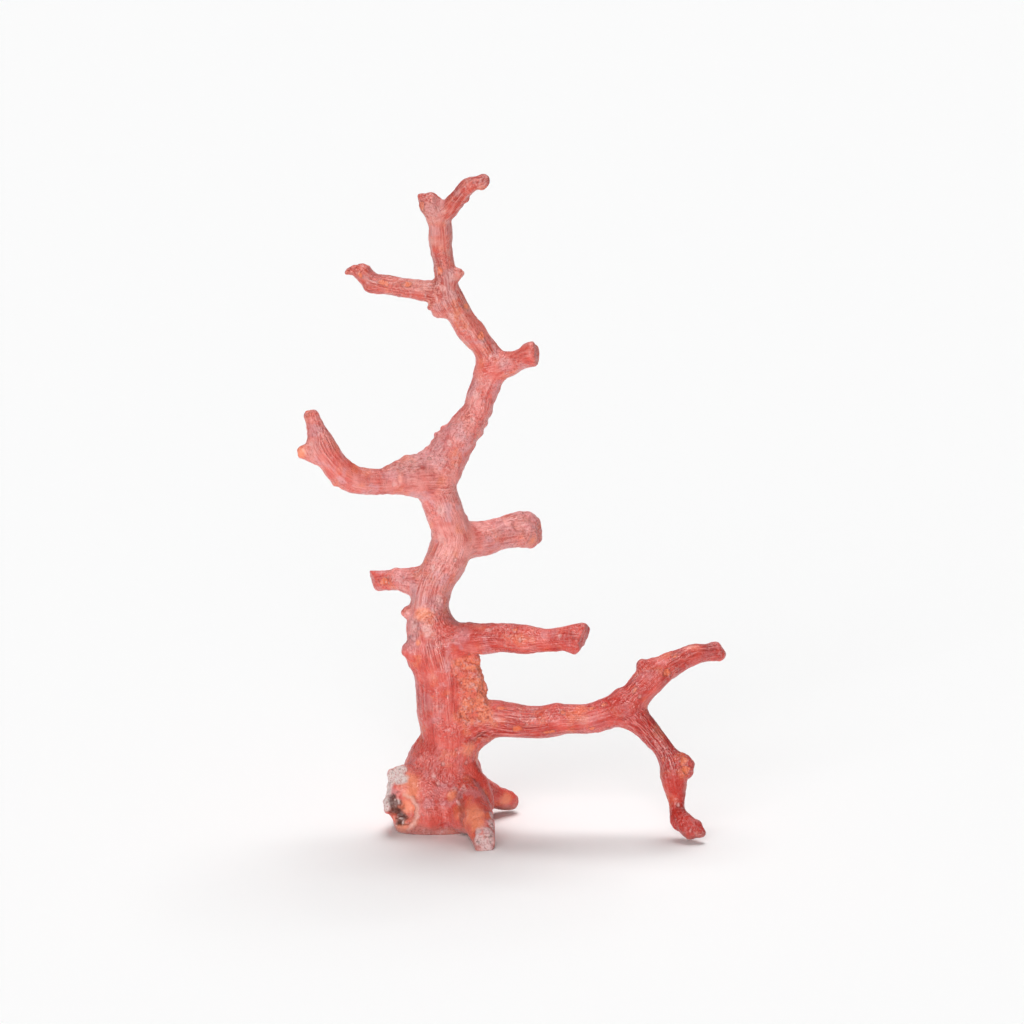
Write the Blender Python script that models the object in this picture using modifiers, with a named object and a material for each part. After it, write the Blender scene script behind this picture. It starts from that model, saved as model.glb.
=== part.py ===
"""A branch of precious red coral, standing on the flat cut of its foot.

The skeleton is one grown piece. It is modelled whole, as tapered tubes fused into one skin, and then
sawn through with a thin blade at each main fork, so that every limb is a solid of its own.
Frame: origin on the ground under the stem, +Z up, the viewer on the -Y side, +X to the right.
"""

import math

import bmesh
import bpy
from mathutils import Matrix, Vector

MM = 0.001
COLLECTION_NAME = "red_coral"

# Routes are given as they look from the front, from a little above and this far off, with the eye on
# the middle of the branch. placed() turns them into true places.
LOOK_DOWN = math.radians(12)
LOOK_FROM = 900.0
LOOK_AT_ACROSS = 15.84
LOOK_AT_HEIGHT = 69.3

# Each limb is a route of points: (across, height as seen, depth away from the viewer, radius), in mm.
STEM = [
    (-0.2, -0.2, -1.0, 9.5),
    (0.4, 4.4, 0.0, 9.5),
    (0.7, 9.2, 1.0, 9.2),
    (0.7, 13.6, 0.5, 8.3),
    (1.8, 19.1, 0.0, 6.7),
    (1.5, 26.8, -0.5, 6.3),
    (0.7, 34.5, -1.0, 6.3),
    (-0.8, 41.1, -1.0, 5.8),
    (-2.2, 47.2, 0.0, 4.4),
    (-1.6, 52.1, 1.0, 4.3),
    (-0.3, 55.2, 1.3, 4.2),
    (1.2, 58.2, 1.5, 4.6),
    (2.8, 63.1, 2.0, 4.3),
    (1.6, 67.5, 2.0, 4.3),
    (0.2, 71.9, 1.5, 4.2),
    (-0.7, 75.8, 1.5, 4.0),
    (0.9, 80.0, 2.0, 4.5),
    (3.3, 84.0, 2.5, 4.3),
    (5.4, 88.0, 3.0, 3.9),
    (6.8, 90.2, 3.3, 3.4),
    (7.7, 91.8, 3.5, 3.3),
    (8.9, 94.8, 4.0, 3.4),
    (10.4, 98.3, 4.5, 3.3),
    (11.1, 101.8, 4.5, 3.15),
    (9.8, 105.1, 4.5, 2.85),
    (7.5, 108.2, 4.0, 2.9),
    (5.2, 111.3, 3.5, 2.8),
    (3.1, 114.6, 3.0, 2.9),
    (1.6, 117.6, 2.5, 3.0),
    (1.2, 120.7, 2.0, 2.5),
    (0.7, 124.2, 1.5, 2.3),
    (0.4, 128.0, 0.5, 2.3),
    (0.0, 131.7, -0.5, 2.6),
    (-0.9, 135.5, -1.5, 2.7),
    (-2.3, 137.6, -2.0, 2.3),
    (-4.1, 139.4, -2.5, 1.6),
]
TOP_TIP = [
    (-0.3, 134.3, -1.5, 2.2),
    (2.0, 136.0, -2.5, 2.1),
    (4.2, 138.5, -4.0, 1.8),
    (6.0, 140.8, -5.5, 1.9),
    (7.8, 141.9, -6.5, 1.9),
    (9.4, 142.1, -7.0, 1.65),
    (10.9, 142.3, -7.5, 1.25),
]
CROWN_LEFT_BRANCH = [
    (0.7, 117.7, 2.5, 2.6),
    (-4.4, 118.3, 3.0, 2.3),
    (-8.1, 118.8, 4.0, 2.1),
    (-11.7, 119.4, 5.0, 2.1),
    (-14.3, 119.8, 6.0, 2.2),
    (-16.5, 121.3, 6.5, 2.1),
    (-18.7, 122.6, 7.0, 1.4),
    (-20.9, 121.9, 7.5, 0.8),
]
UPPER_RIGHT_STUB = [
    (10.8, 100.8, 4.5, 3.3),
    (14.3, 101.7, 3.0, 2.9),
    (17.2, 102.7, 1.0, 2.6),
    (19.8, 103.7, -0.5, 2.55),
    (22.6, 104.5, -2.0, 2.5),
]
LEFT_ARM = [
    (-0.9, 77.2, 1.0, 4.6),
    (-5.3, 77.2, -1.0, 4.6),
    (-8.8, 76.8, -3.0, 3.8),
    (-11.9, 76.1, -4.5, 3.0),
    (-15.4, 75.9, -6.0, 2.95),
    (-18.7, 76.4, -7.0, 3.1),
    (-21.4, 77.8, -7.5, 3.1),
    (-24.1, 80.8, -7.5, 3.0),
    (-26.0, 83.7, -7.0, 3.0),
    (-27.2, 86.6, -6.0, 2.4),
    (-28.1, 89.2, -5.0, 1.8),
    (-28.7, 91.8, -4.4, 1.7),
    (-29.0, 93.8, -4.2, 1.6),
]
RIGHT_STUB = [
    (2.6, 62.9, 3.0, 4.4),
    (6.6, 63.1, 4.5, 4.2),
    (10.1, 63.7, 6.0, 4.0),
    (13.6, 64.7, 7.5, 3.7),
    (16.7, 65.1, 8.5, 3.7),
    (19.4, 65.5, 9.5, 3.85),
    (21.6, 65.4, 10.2, 3.8),
    (24.0, 65.4, 11.0, 3.6),
]
LEFT_STUB = [
    (-1.5, 54.1, 1.0, 3.3),
    (-5.9, 54.1, 3.0, 2.9),
    (-9.0, 54.5, 4.5, 2.5),
    (-11.9, 54.4, 6.0, 2.3),
    (-14.3, 54.2, 7.0, 2.2),
    (-16.4, 54.2, 8.0, 2.1),
]
RIGHT_BRANCH = [
    (0.9, 40.4, -2.0, 4.2),
    (4.8, 41.1, -4.0, 3.85),
    (8.8, 41.4, -6.0, 3.4),
    (13.2, 41.7, -8.0, 3.2),
    (18.0, 41.4, -10.0, 3.2),
    (21.6, 41.1, -11.0, 2.85),
    (24.6, 41.2, -12.0, 2.7),
    (28.2, 41.5, -13.0, 2.8),
    (30.0, 41.4, -13.5, 3.1),
    (31.6, 41.2, -14.0, 3.35),
    (34.0, 41.0, -14.8, 3.4),
]
LOWER_ARM = [
    (4.0, 22.4, 0.0, 5.6),
    (8.4, 23.4, -1.5, 4.9),
    (12.8, 23.9, -3.0, 4.0),
    (16.3, 23.4, -4.0, 3.8),
    (19.8, 23.0, -5.0, 3.6),
    (23.3, 23.2, -6.0, 3.6),
    (26.6, 23.8, -6.5, 3.5),
    (29.9, 23.8, -7.0, 3.2),
    (33.0, 23.9, -7.0, 3.4),
    (36.3, 24.8, -7.0, 3.45),
    (39.5, 26.0, -7.0, 3.8),
    (42.1, 27.8, -7.0, 3.5),
]
LOWER_ARM_RISE = [
    (40.6, 26.9, -7.0, 3.4),
    (42.3, 28.3, -7.0, 3.4),
    (45.0, 31.2, -6.5, 3.4),
    (47.8, 33.8, -5.5, 3.2),
    (49.9, 35.2, -4.5, 3.0),
    (51.9, 36.4, -3.5, 2.8),
    (53.9, 37.3, -2.5, 2.4),
    (56.3, 38.1, -1.5, 2.25),
    (58.5, 38.4, -0.5, 2.1),
    (60.5, 38.8, 0.5, 2.25),
    (62.2, 38.3, 1.0, 1.9),
]
LOWER_ARM_DROP = [
    (40.6, 26.0, -7.0, 3.6),
    (44.4, 22.7, -8.0, 2.8),
    (47.0, 19.7, -8.5, 2.35),
    (48.9, 17.2, -9.0, 2.3),
    (50.3, 14.4, -9.5, 2.6),
    (51.3, 11.4, -10.0, 2.7),
    (51.7, 8.5, -10.0, 2.3),
    (52.0, 5.7, -10.5, 1.85),
    (52.4, 3.5, -11.5, 1.95),
    (53.7, 1.1, -13.4, 2.4),
    (55.5, -0.4, -15.3, 2.25),
    (57.4, -0.5, -16.0, 1.7),
]
LEFT_ROOT = [
    (-0.9, 6.8, -1.0, 7.0),
    (-4.0, 5.4, -4.0, 6.8),
    (-6.4, 4.4, -6.5, 5.9),
    (-7.7, 4.2, -8.8, 5.1),
]
FRONT_ROOT = [
    (4.8, 8.1, -4.0, 4.4),
    (7.0, 4.1, -10.0, 4.1),
    (8.6, 0.6, -15.0, 3.5),
    (9.5, -2.0, -18.5, 3.1),
    (10.0, -3.4, -21.5, 2.8),
    (10.3, -4.2, -24.0, 2.6),
]
BACK_ROOT = [
    (1.5, 7.5, 5.0, 6.5),
    (4.0, 6.0, 9.0, 5.5),
    (6.5, 4.8, 10.5, 4.4),
    (8.5, 4.2, 10.5, 4.2),
]
BASE_SPUR = [
    (8.4, 8.6, 4.0, 3.1),
    (12.3, 6.5, 6.0, 2.4),
    (15.0, 5.8, 7.5, 2.05),
    (16.4, 5.4, 8.5, 1.5),
]
LIMBS = {
    "stem": STEM,
    "top_tip": TOP_TIP,
    "crown_left_branch": CROWN_LEFT_BRANCH,
    "upper_right_stub": UPPER_RIGHT_STUB,
    "left_arm": LEFT_ARM,
    "right_stub": RIGHT_STUB,
    "left_stub": LEFT_STUB,
    "right_branch": RIGHT_BRANCH,
    "lower_arm": LOWER_ARM,
    "lower_arm_rise": LOWER_ARM_RISE,
    "lower_arm_drop": LOWER_ARM_DROP,
    "left_root": LEFT_ROOT,
    "front_root": FRONT_ROOT,
    "back_root": BACK_ROOT,
    "base_spur": BASE_SPUR,
}

# Short knobs, buds and broken corners that stand off a limb, from its inside to their own tip.
KNOBS = {
    "top_tip_lobe": [(8.0, 142.3, -6.8, 1.5), (9.6, 143.6, -7.0, 1.0)],
    "crown_spur": [(1.8, 120.5, 1.5, 2.2), (3.6, 121.2, 0.5, 1.6), (4.9, 121.8, 0.0, 0.9)],
    "crown_ledge": [(0.9, 115.2, 2.0, 2.6), (-1.7, 113.9, 1.5, 1.8)],
    "crown_left_lower_lobe": [(-14.3, 119.6, 5.5, 1.9), (-16.9, 118.9, 5.0, 1.2)],
    "left_arm_prong": [(-26.4, 83.5, -7.0, 2.6), (-28.8, 82.8, -8.5, 2.1), (-31.0, 82.3, -9.0, 1.7)],
    "left_arm_spur": [(-22.0, 76.7, -8.0, 1.6), (-24.0, 74.9, -8.5, 0.8)],
    "right_stub_top_lobe": [(17.6, 66.2, 8.5, 3.1), (21.5, 66.9, 8.5, 2.3)],
    "right_stub_low_corner": [(19.0, 63.6, 9.5, 2.0), (20.9, 62.6, 9.5, 1.4)],
    "left_stub_corner": [(-13.6, 54.9, 6.5, 1.4), (-15.7, 55.4, 7.0, 0.9)],
    "right_branch_top_corner": [(30.5, 42.6, -13.9, 1.9), (32.3, 43.5, -14.2, 1.1)],
    "right_branch_low_corner": [(29.7, 39.6, -13.6, 1.6), (30.8, 38.3, -14.0, 0.9)],
    "stem_swell": [(-3.3, 43.6, -1.5, 3.8), (-4.0, 40.4, -2.0, 3.9), (-2.6, 35.0, -2.0, 4.0)],
    "stem_thorn": [(-4.4, 47.5, 0.0, 2.0), (-8.0, 46.9, -1.0, 1.0)],
    "stem_bump": [(-5.0, 39.3, -3.0, 2.8), (-7.5, 38.9, -4.0, 2.1)],
    "stem_barb": [(4.0, 67.5, 2.0, 1.3), (6.1, 68.1, 2.0, 0.8)],
    "arm_top_bump": [(26.2, 25.3, -6.5, 2.2), (27.2, 25.7, -6.6, 2.0)],
    "arm_low_bump": [(32.4, 22.0, -7.2, 1.5), (33.4, 21.4, -7.4, 1.1)],
    "arm_low_fillet": [(7.4, 20.2, -1.0, 3.1), (8.8, 21.8, -1.5, 3.1)],
    "rise_knob": [(46.4, 33.6, -6.0, 2.3), (44.0, 35.9, -7.0, 1.6)],
    "drop_knob": [(52.0, 13.7, -10.0, 2.4), (55.8, 12.9, -11.0, 1.6)],
    "drop_foot_corner": [(52.2, 1.6, -12.6, 1.6), (50.7, 0.9, -12.8, 1.0)],
    "left_root_high_corner": [(-7.8, 9.6, -4.0, 3.4), (-10.6, 10.3, -5.0, 2.2)],
    "left_root_low_corner": [(-10.0, 5.2, -8.0, 2.4), (-12.0, 4.4, -9.0, 1.2)],
    "crust_lump_high": [(6.2, 34.6, -4.0, 3.2), (8.9, 34.7, -4.2, 2.5)],
    "crust_lump_low": [(6.6, 30.4, -3.5, 3.4), (9.6, 30.4, -3.6, 2.6)],
    "crust_lump_outer": [(8.8, 30.8, -3.0, 1.9), (10.9, 30.4, -3.0, 1.4)],
    "crust_lump_top": [(7.0, 36.4, -4.0, 1.9), (9.3, 36.5, -4.2, 1.5)],
}

# Old breaks that end a limb flat: a point on the break, placed like a route point, and the way it faces.
BREAKS = {
    "right_branch": ((31.6, 41.2, -14.0), (0.95, -0.3, -0.27)),
    "upper_right_stub": ((20.6, 103.9, -1.0), (0.85, -0.3, 0.35)),
    "right_stub": ((21.3, 64.9, 9.9), (0.9, -0.3, -0.2)),
    "left_stub": ((-14.7, 54.2, 7.1), (-0.85, -0.3, -0.3)),
    "left_arm": ((-28.8, 91.7, -4.3), (-0.1, -0.3, 0.95)),
    "front_root": ((9.7, -3.3, -22.2), (0.3, -0.93, 0.2)),
}
BREAK_BLOCK = 12.0

# The crevice in the left root, as hollows: (point placed like a route point, half sizes across, away and
# up), in mm.
PITS = {
    "crevice": ((-9.6, 4.4, -12.6), (1.3, 1.7, 3.2)),
    "crevice_side": ((-7.9, 7.2, -11.6), (1.6, 1.5, 1.8)),
}

# A node is what lies beyond its saw cut: (limb that is cut, how far along its route in mm).
SAW_CUTS = {
    "lower_stem": ("stem", 16.0),
    "middle_stem": ("stem", 49.5),
    "upper_stem": ("stem", 74.0),
    "crown_stem": ("stem", 99.0),
    "top_branch": ("stem", 120.5),
    "top_tip": ("top_tip", 4.2),
    "crown_left_branch": ("crown_left_branch", 6.2),
    "upper_right_stub": ("upper_right_stub", 6.4),
    "left_arm": ("left_arm", 7.6),
    "right_stub": ("right_stub", 6.2),
    "left_stub": ("left_stub", 6.0),
    "right_branch": ("right_branch", 12.0),
    "lower_arm": ("lower_arm", 8.6),
    "lower_arm_rise": ("lower_arm_rise", 6.8),
    "lower_arm_drop": ("lower_arm_drop", 5.6),
}
FOOT_NODE = "holdfast"
BLADE_THICKNESS = 0.3
BLADE_OVERSIZE = 1.3
BLADE_MARGIN = 0.9
CRUMB_FACES = 100
SLIVER_SIZE = 0.05

ROUTE_STEP = 1.0
TUBE_SIDES_RESOLUTION = 4
SKIN_VOXEL = 0.6
SMOOTHING_LOSS = 0.05
LUMP_SIZE = 5.5
LUMP_HEIGHT = 0.7
SKIN_SMOOTHING_TURNS = 3
SKIN_TRIANGLES_KEPT = 0.118
GROUND_BLOCK = (200.0, 120.0, 40.0)

CORAL_COLOUR = (0.72, 0.13, 0.09, 1.0)
CORAL_ROUGHNESS = 0.42


def clear_scene():
    """Removes what the startup scene holds."""
    for obj in list(bpy.data.objects):
        bpy.data.objects.remove(obj)


def new_collection(name):
    """A collection of that name in the scene."""
    collection = bpy.data.collections.new(name)
    bpy.context.scene.collection.children.link(collection)
    return collection


def coral_material():
    """Polished calcite skeleton, salmon red, with no metal in it."""
    material = bpy.data.materials.new("coral_red")
    material.use_nodes = True
    shader = material.node_tree.nodes["Principled BSDF"]
    shader.inputs["Base Color"].default_value = CORAL_COLOUR
    shader.inputs["Roughness"].default_value = CORAL_ROUGHNESS
    shader.inputs["Metallic"].default_value = 0.0
    return material


def applied(obj, collection):
    """A plain mesh object of what an object's modifiers make, in its place."""
    graph = bpy.context.evaluated_depsgraph_get()
    mesh = bpy.data.meshes.new_from_object(obj.evaluated_get(graph))
    name = obj.name
    bpy.data.objects.remove(obj)
    plain = bpy.data.objects.new(name, mesh)
    collection.objects.link(plain)
    return plain


def placed(point):
    """The true place of a route point, along the line of sight that it is seen on, at its own depth."""
    across, seen_height, depth, _ = point
    sine, cosine = math.sin(LOOK_DOWN), math.cos(LOOK_DOWN)
    slope = (seen_height - LOOK_AT_HEIGHT) / LOOK_FROM
    rise = (slope * (LOOK_FROM + depth * cosine) - depth * sine) / (cosine + slope * sine)
    distance = LOOK_FROM + depth * cosine - rise * sine
    sideways = (across - LOOK_AT_ACROSS) * distance / LOOK_FROM
    return Vector((LOOK_AT_ACROSS + sideways, depth, LOOK_AT_HEIGHT / cosine + rise))


def smooth_route(points, step=ROUTE_STEP):
    """(place, radius) about every step mm, on a Catmull-Rom curve through the route's points."""
    knots = [placed(p).to_4d() for p in points]
    for knot, point in zip(knots, points):
        knot.w = point[3]
    knots = [2 * knots[0] - knots[1], *knots, 2 * knots[-1] - knots[-2]]
    route = []
    for a, b, c, d in zip(knots, knots[1:], knots[2:], knots[3:]):
        pieces = max(1, round((c - b).to_3d().length / step))
        for i in range(pieces):
            t = i / pieces
            route.append(
                0.5 * (2 * b + (c - a) * t + (2 * a - 5 * b + 4 * c - d) * t**2 + (3 * b - a - 3 * c + d) * t**3)
            )
    route.append(knots[-2])
    return [(knot.to_3d(), knot.w) for knot in route]


def tube(name, points, collection):
    """A closed tapered tube along a route, as a mesh: a poly curve with a round bevel and filled caps."""
    route = smooth_route(points)
    curve = bpy.data.curves.new(name, "CURVE")
    curve.dimensions = "3D"
    curve.bevel_depth = MM
    curve.bevel_resolution = TUBE_SIDES_RESOLUTION
    curve.use_fill_caps = True
    spline = curve.splines.new("POLY")
    spline.points.add(len(route) - 1)
    for spline_point, (place, radius) in zip(spline.points, route):
        spline_point.co = (*(place * MM), 1.0)
        spline_point.radius = radius + SMOOTHING_LOSS
    curve_object = bpy.data.objects.new(name + "_curve", curve)
    collection.objects.link(curve_object)
    graph = bpy.context.evaluated_depsgraph_get()
    mesh = bpy.data.meshes.new_from_object(curve_object.evaluated_get(graph))
    bpy.data.objects.remove(curve_object)
    return mesh


def fused_skin(collection):
    """All limbs and knobs as one closed skin: their tubes joined, remeshed into one body and smoothed."""
    shape = bmesh.new()
    for name, points in {**LIMBS, **KNOBS}.items():
        shape.from_mesh(tube(name, points, collection))
    bmesh.ops.remove_doubles(shape, verts=shape.verts, dist=0.01 * MM)
    mesh = bpy.data.meshes.new("coral")
    shape.to_mesh(mesh)
    shape.free()
    skin = bpy.data.objects.new("coral", mesh)
    collection.objects.link(skin)
    remesh = skin.modifiers.new("fuse", "REMESH")
    remesh.mode = "VOXEL"
    remesh.voxel_size = SKIN_VOXEL * MM
    smooth = skin.modifiers.new("smooth", "SMOOTH")
    smooth.factor = 0.5
    smooth.iterations = SKIN_SMOOTHING_TURNS
    lumps = skin.modifiers.new("lumps", "DISPLACE")
    lumps.texture = bpy.data.textures.new("lumps", "CLOUDS")
    lumps.texture.noise_scale = LUMP_SIZE * MM
    lumps.texture_coords = "LOCAL"
    lumps.strength = LUMP_HEIGHT * MM
    lumps.mid_level = 0.5
    return applied(skin, collection)


def cutter(name, mesh_builder, matrix, collection):
    """A hidden helper solid, built in a bmesh and set in place by a matrix."""
    shape = bmesh.new()
    mesh_builder(shape)
    bmesh.ops.transform(shape, matrix=matrix, verts=shape.verts)
    mesh = bpy.data.meshes.new(name)
    shape.to_mesh(mesh)
    shape.free()
    helper = bpy.data.objects.new(name, mesh)
    helper.hide_render = True
    helper.display_type = "WIRE"
    collection.objects.link(helper)
    return helper


def ground_block(collection):
    """The block under the ground plane that cuts the foot flat."""
    sizes = Matrix.Diagonal((*(side * MM for side in GROUND_BLOCK), 1.0))
    centre = Matrix.Translation((0, 0, -GROUND_BLOCK[2] / 2 * MM))
    return cutter("ground", lambda b: bmesh.ops.create_cube(b, size=1.0), centre @ sizes, collection)


def break_block(name, collection):
    """The block beyond an old break, with one face on it."""
    point, facing = BREAKS[name]
    sizes = Matrix.Scale(BREAK_BLOCK * MM, 4)
    turn = Vector(facing).to_track_quat("Z", "Y").to_matrix().to_4x4()
    centre = (placed((*point, 0.0)) + Vector(facing).normalized() * BREAK_BLOCK / 2) * MM
    matrix = Matrix.Translation(centre) @ turn @ sizes
    return cutter("break_" + name, lambda b: bmesh.ops.create_cube(b, size=1.0), matrix, collection)


def pit(name, collection):
    """An egg-shaped hollow's cutter."""
    point, half_sizes = PITS[name]
    sizes = Matrix.Diagonal((*(side * MM for side in half_sizes), 1.0))
    matrix = Matrix.Translation(placed((*point, 0.0)) * MM) @ sizes
    return cutter(
        "pit_" + name,
        lambda b: bmesh.ops.create_icosphere(b, subdivisions=3, radius=1.0),
        matrix,
        collection,
    )


def point_along(limb, distance):
    """(place, direction, radius) at a distance in mm along a limb's route."""
    route = smooth_route(LIMBS[limb])
    travelled = 0.0
    for (start, radius), (end, _) in zip(route, route[1:]):
        length = (end - start).length
        if travelled + length >= distance:
            return start.lerp(end, (distance - travelled) / length), (end - start).normalized(), radius
        travelled += length
    raise ValueError(f"{limb} is shorter than {distance} mm")


def saw_blade(name, limb, distance, collection):
    """A thin disc square across a limb, a little wider than it."""
    place, direction, radius = point_along(limb, distance)
    blade_radius = (radius * BLADE_OVERSIZE + BLADE_MARGIN) * MM

    def disc(shape):
        bmesh.ops.create_cone(
            shape,
            cap_ends=True,
            segments=24,
            radius1=blade_radius,
            radius2=blade_radius,
            depth=BLADE_THICKNESS * MM,
        )

    turn = direction.to_track_quat("Z", "Y").to_matrix().to_4x4()
    return cutter("saw_" + name, disc, Matrix.Translation(place * MM) @ turn, collection)


def sawn(skin, helpers, collection):
    """The skin with every helper solid taken away from it."""
    cut = skin.modifiers.new("saw", "BOOLEAN")
    cut.operation = "DIFFERENCE"
    cut.solver = "EXACT"
    cut.operand_type = "COLLECTION"
    cut.collection = helpers
    return applied(skin, collection)


def loose_pieces(obj, collection):
    """The separate bodies of a mesh, each as an object, without the crumbs that the saw leaves."""
    bpy.ops.object.select_all(action="DESELECT")
    obj.select_set(True)
    bpy.context.view_layer.objects.active = obj
    bpy.ops.mesh.separate(type="LOOSE")
    for piece in list(collection.objects):
        if len(piece.data.polygons) < CRUMB_FACES:
            bpy.data.objects.remove(piece)
    return list(collection.objects)


def without_slivers(piece):
    """Merges the near-coincident corners that a saw cut leaves, so that fewer faces can be made of them."""
    shape = bmesh.new()
    shape.from_mesh(piece.data)
    bmesh.ops.remove_doubles(shape, verts=shape.verts, dist=SLIVER_SIZE * MM)
    bmesh.ops.dissolve_degenerate(shape, edges=shape.edges, dist=SLIVER_SIZE * MM)
    bmesh.ops.triangulate(shape, faces=shape.faces)
    shape.to_mesh(piece.data)
    shape.free()


def name_pieces(pieces):
    """Names each piece after the saw cut that it lies beyond, and the one below every stem cut after the foot."""
    seeds = {FOOT_NODE: placed(STEM[2])}
    for node, (limb, distance) in SAW_CUTS.items():
        seeds[node] = point_along(limb, distance + BLADE_MARGIN)[0]
    for piece in pieces:
        piece.name = "unnamed"
    for node, seed in seeds.items():
        free = [p for p in pieces if p.name.startswith("unnamed")]
        nearest = min(free, key=lambda p: (p.closest_point_on_mesh(seed * MM)[1] - seed * MM).length)
        nearest.name = node
        nearest.data.name = node


def main():
    clear_scene()
    coral = new_collection(COLLECTION_NAME)
    helpers = new_collection("cutters")
    ground_block(helpers)
    for name in BREAKS:
        break_block(name, helpers)
    for name in PITS:
        pit(name, helpers)
    for node, (limb, distance) in SAW_CUTS.items():
        saw_blade(node, limb, distance, helpers)
    pieces = loose_pieces(sawn(fused_skin(coral), helpers, coral), coral)
    name_pieces(pieces)
    material = coral_material()
    for piece in pieces:
        without_slivers(piece)
        fewer = piece.modifiers.new("fewer_faces", "DECIMATE")
        fewer.ratio = SKIN_TRIANGLES_KEPT
        piece.data.materials.clear()
        piece.data.materials.append(material)
        piece.data.shade_smooth()
        piece.data.set_sharp_from_angle(angle=math.radians(50))


main()
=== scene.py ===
"""A branch of precious red coral: one grown skin, worked out with numpy and split where its limbs fork.

The skin is the zero surface of a distance field of tapered limbs, melted together at the forks. It is
meshed, refined, and then given its lumps, growth grooves, scars and crusts, all as whole arrays.
"""

import math

import bpy
import numpy as np
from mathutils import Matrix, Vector


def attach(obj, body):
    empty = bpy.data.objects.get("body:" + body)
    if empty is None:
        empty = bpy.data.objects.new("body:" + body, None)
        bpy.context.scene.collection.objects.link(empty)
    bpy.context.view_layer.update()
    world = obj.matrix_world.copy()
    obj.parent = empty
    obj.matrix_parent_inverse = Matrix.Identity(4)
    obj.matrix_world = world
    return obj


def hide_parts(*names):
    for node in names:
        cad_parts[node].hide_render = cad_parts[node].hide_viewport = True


bl_info = {
    "name": "Red Coral Branch",
    "version": (1, 0, 0),
    "blender": (4, 5, 0),
    "location": "View3D > Sidebar > Red Coral",
    "description": "Grows a branch of red coral on its packed model, and dresses a plain stage for it",
    "category": "Add Mesh",
}

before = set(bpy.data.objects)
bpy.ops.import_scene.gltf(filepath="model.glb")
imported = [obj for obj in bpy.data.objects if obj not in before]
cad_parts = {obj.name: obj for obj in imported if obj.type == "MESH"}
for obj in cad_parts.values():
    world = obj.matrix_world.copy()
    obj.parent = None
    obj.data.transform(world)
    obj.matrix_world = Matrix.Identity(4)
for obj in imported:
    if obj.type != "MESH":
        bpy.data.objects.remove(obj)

MM = 0.001
ROOT_BODY = "root"

# Places are given as they look from the front, from a little above and this far off, with the eye on the
# middle of the branch, as (across, height as seen, depth away from the viewer), in mm.
LOOK_DOWN = math.radians(12)
LOOK_FROM = 900.0
LOOK_AT_ACROSS = 15.84
LOOK_AT_HEIGHT = 69.3
PICTURE_WIDTH = 225.28

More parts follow.
